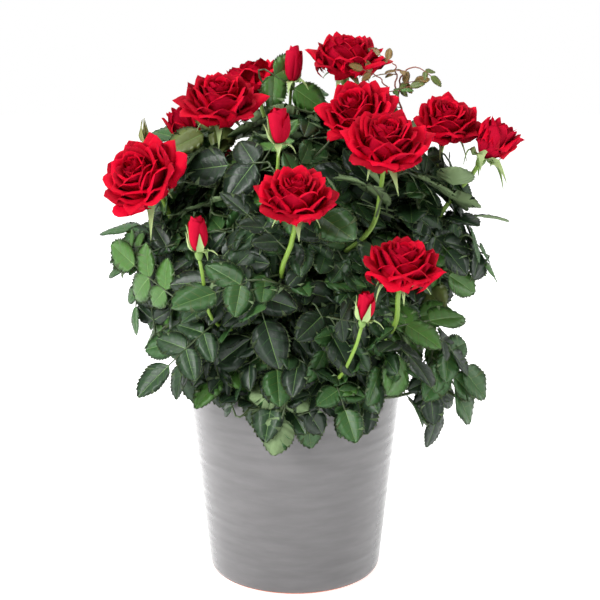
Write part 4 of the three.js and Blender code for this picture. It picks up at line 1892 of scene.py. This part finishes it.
@dataclass
class YoungGrowth:
    """The thin red shoots with small bronze leaves at the top, and the sprig with a green bud."""

    crown: Crown  # The crown whose leaf patterns and wood they share
    seed: int = 9
    # A shoot's radius at its foot and its tip, in millimetres
    shoot_ends: tuple[float, float] = (0.85, 0.4)
    leafstalk: tuple[float, float] = (0.42, 0.3)  # The same of a leaf's stalk
    zigzag: float = 0.6 * MM  # How far a shoot bends at its knots
    sprig: tuple[float, float] = (1.0, 0.7)  # The radius of the sprig's stalk, in millimetres
    bud_share: float = 0.82  # How much of its box the sprig's bud takes upward
    leaves: Gathered = field(default_factory=Gathered)  # The leaflets gathered so far
    twigs: Gathered = field(default_factory=Gathered)  # The shoots, stalks and bud gathered so far

    # Each shoot's course inside the box, as shares of its sides, and the tones of its leaves upward.
    SHOOTS = (
        (((0.45, 0.5, -0.5), (0.42, 0.5, 0.3), (0.5, 0.4, 0.6), (0.4, 0.5, 0.74)), (2, 4, 5, 5)),
        (((0.55, 0.5, -0.4), (0.4, 0.6, 0.45), (0.6, 0.6, 0.7), (0.8, 0.5, 0.62)), (3, 5, 5, 4)),
        (((0.45, 0.5, -0.5), (0.4, 0.3, 0.1), (0.3, 0.3, 0.3), (0.14, 0.2, 0.5)), (2, 3, 5)),
    )

    def shoot(self, course: Array, tones: tuple[int, ...]) -> None:
        """Grows one thin red shoot with a small leaf at each of its knots.

        Args:
            course: The four points that it is drawn by.
            tones: The tone of each leaf, from the foot to the tip.
        """
        rng = self.crown.rng
        start, _, _ = self.crown.wood.fork(course[0] - UP * 22 * MM, 2.0)
        line = bezier(course, 16)
        foot = bow(start, unit(course[0] - start), course[0], unit(line[1] - line[0]), 8)
        bends = np.where(np.arange(16) % 4 < 2, self.zigzag, -self.zigzag)[:, None] * [1.0, 0.3, 0.2]
        line = np.concatenate([foot[:-1], line + bends])
        self.twigs.add(*sweep(line, np.linspace(*self.shoot_ends, len(line)) * MM, 6), 1)
        ways = unit(np.gradient(line, axis=0))
        for order, tone in enumerate(tones):
            last = order == len(tones) - 1
            at = len(line) - 1 if last else 7 + int((order + 0.4) * 15 / len(tones))
            hand = 1 if order % 2 else -1
            way = unit(ways[at] * (1.0 if last else 0.5) + np.array([hand * 0.7 * (not last), -0.2, -0.3]))
            face = square_to(way, np.array([0, -0.8, 0.8]) + rng.normal(size=3) * 0.4)
            blade = rng.uniform(9, 11) * MM if order else 13 * MM
            self.tuft(line[at], way, face, blade, tone)

    def tuft(self, foot: Array, way: Array, face: Array, blade: float, tone: int) -> None:
        """Grows one small slim leaf from its foot.

        Args:
            foot: Where it leaves the shoot.
            way: The way that it grows.
            face: The way that it faces.
            blade: The length of its top leaflet.
            tone: Its colour.
        """
        leaf = self.crown.compound(foot, way, face, blade, 1)
        leaf = leaf.moved(foot - leaf.run[0])
        self.twigs.add(*sweep(leaf.run, np.linspace(*self.leafstalk, len(leaf.run)) * MM, 5), 1)
        patterns = self.crown.slim_patterns
        for leaflet in leaf.leaflets:
            pattern = patterns[int(self.crown.rng.integers(len(patterns)))]
            add_leaflet(self.leaves, pattern, leaflet, tone, YOUNG_BACK_SLOT, tone, RIB_SLOT)

    def build(self) -> list[Piece]:
        """Makes the shoots and the sprig.

        Returns:
            The pieces.
        """
        self.crown.rng = np.random.default_rng(self.seed)
        low, high = (np.array(c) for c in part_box("foliage_shoot"))
        for course, tones in self.SHOOTS:
            self.shoot(low + (high - low) * np.array(course), tones)
        self.green_bud()
        leaves = self.leaves.piece("young_leaves", LEAF_FINISHES)
        settle(leaves, "leaf", *YOUNG_MASSES)
        stems = self.twigs.piece("young_twigs", (TWIG, RED_TWIG, SPRIG_BUD, SPRIG_BUD))
        settle(stems, "stalk")
        return [leaves, stems]

    def green_bud(self) -> None:
        """Grows the small closed bud of the sprig, with two little leaves below it."""
        low, high = (np.array(c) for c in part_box("foliage_sprig"))
        middle = (low + high) / 2
        foot = np.array([middle[0], middle[1], low[2] + 5 * MM])
        start, way, _ = self.crown.wood.fork(foot - UP * 25 * MM, 2.0)
        line = bow(start, unit(way + UP), foot, UP, 12)
        self.twigs.add(*sweep(line, np.linspace(*self.sprig, len(line)) * MM, 7), 0)
        height = self.bud_share * (high[2] - foot[2])
        share = np.linspace(0, 1, 12)
        body = foot + share[:, None] * UP * height * 0.62
        radii = np.interp(share, [0, 0.15, 0.3, 0.5, 0.8, 1], [0.8, 1.9, 1.6, 2.9, 2.0, 0.3]) * MM
        self.twigs.add(*sweep(body, radii, 12), 2)
        for turn in range(5):
            angle = turn * 2 * math.pi / 5 + 0.4
            out = np.array([math.cos(angle), math.sin(angle), 0.0])
            root = foot + UP * height * 0.16 + out * 1.5 * MM
            belly = foot + UP * height * 0.38 + out * 3.4 * MM
            spread = 2.6 if turn in (1, 3) else 0.6
            tip = foot + UP * height * (0.98 - 0.1 * turn / 5) + out * spread * MM
            Bloom.add_sepal(self.twigs, bezier([root, belly, belly, tip], 9), out, 13 * MM, 2)
        for hand in (-1, 1):
            way = unit(np.array([hand, -0.4, 0.1]))
            face = square_to(way, np.array([0, -0.6, 1]))
            self.tuft(foot - UP * 9 * MM, way, face, 9 * MM, Tone.FRESH)


# ---- studio ----


@dataclass
class Studio:
    """A pale floor, a white surround, soft lamps and the camera."""

    eye: Triple = (3.6 * MM, -0.890, 0.389)  # Where the camera is
    pitch: float = 12.5  # How far it looks down, in degrees
    lens: float = 79.1  # Its focal length on a 36 mm frame, in millimetres
    aim: Triple = (0, 0, 0.2)  # Where the lamps point
    front_light: float = 0.07  # How bright the surround is on the side that the camera looks from
    back_light: float = 0.9  # How bright it is behind the plant
    floor: float = 4.0  # Half the breadth of the floor

    # Each lamp's name, place, side, and power in watts.
    LAMPS = (
        ("key", (-1.25, -1.1, 1.1), 0.8, 40),
        ("fill", (1.45, -0.3, 0.7), 0.6, 10),
        ("top", (-0.2, 0.1, 1.6), 0.8, 12),
    )

    def lamp(self, name: str, place: Triple, size: float, power: float) -> None:
        """Adds one soft square lamp that faces the plant.

        Args:
            name: Its name.
            place: Where it is.
            size: Its side.
            power: Its power in watts.
        """
        data = bpy.data.lights.new(name, "AREA")
        data.shape = "SQUARE"
        data.size = size
        data.energy = power
        made = bpy.data.objects.new(name, data)
        made.location = place
        made.rotation_euler = (Vector(self.aim) - Vector(place)).to_track_quat("-Z", "Y").to_euler()
        bpy.context.scene.collection.objects.link(made)

    def surround(self) -> bpy.types.World:
        """Makes a white studio that is lit behind the plant and dimmer in front of it."""
        world = bpy.data.worlds.new("surround")
        world.use_nodes = True
        nodes = Nodes(world.node_tree)
        white = {"Color": (1, 1, 1, 1)}
        lit = world.node_tree.nodes["Background"]
        nodes.put(lit, white)
        plain = nodes.add("Background", white)
        split = nodes.add("SeparateXYZ")
        ends = {"From Min": -1, "To Min": self.front_light, "To Max": self.back_light}
        fade = nodes.add("MapRange", ends)
        mix = nodes.add("MixShader")
        nodes.join(nodes.add("TexCoord"), "Generated", split, "Vector")
        nodes.join(split, "Y", fade, "Value")
        nodes.join(fade, "Result", lit, "Strength")
        nodes.join(nodes.add("LightPath"), "Is Camera Ray", mix, 0)
        nodes.join(lit, "Background", mix, 1)
        nodes.join(plain, "Background", mix, 2)
        nodes.join(mix, "Shader", world.node_tree.nodes["World Output"], "Surface")
        return world

    def camera(self) -> Piece:
        """Makes the camera."""
        data = bpy.data.cameras.new("camera")
        data.sensor_width = 36
        data.lens = self.lens
        made = bpy.data.objects.new("camera", data)
        made.location = self.eye
        made.rotation_euler = (math.radians(90 - self.pitch), 0, 0)
        bpy.context.scene.collection.objects.link(made)
        return made

    def build(self) -> Piece:
        """Sets up the floor, the surround, the lamps and the camera, and gives the floor."""
        made = Gathered()
        corners = np.array([[-1, -1, 0], [1, -1, 0], [1, 1, 0], [-1, 1, 0]]) * self.floor - UP * 0.5 * MM
        made.add(corners, [np.array([[0, 1, 2, 3]])])
        pale = Finish("pale_floor", "#f4f4f4", 0.9, 0.05, 0.00001, specular=0.0, glow=0.7)
        floor = made.piece("floor", (pale,))
        for each in self.LAMPS:
            self.lamp(*each)
        scene = bpy.context.scene
        scene.world = self.surround()
        scene.camera = self.camera()
        scene.view_settings.view_transform = "Standard"
        scene.view_settings.look = "None"
        scene.view_settings.exposure = 0.0
        return floor


def report(pieces: list[Piece]) -> None:
    """Says how many triangles each piece has."""
    for piece in pieces:
        log.info("%s: %d triangles", piece.name, len(piece.data.loops) - 2 * len(piece.data.polygons))


def main() -> None:
    """Builds the studio and the plant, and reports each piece."""
    logging.basicConfig(level=logging.INFO, format="%(name)s: %(message)s")
    report([Studio().build()])
    pot = Pot()
    report([pot.build(), *Compost().build()])
    flowers = Flowers()
    seats = flowers.seats()
    wood = Wood()
    report(wood.build(seats))
    report(flowers.build(seats))
    crown = Crown(wood.skeleton, wood.stems, seats, pot)
    report(crown.build())
    report(YoungGrowth(crown).build())


if __name__ == "__main__":
    main()
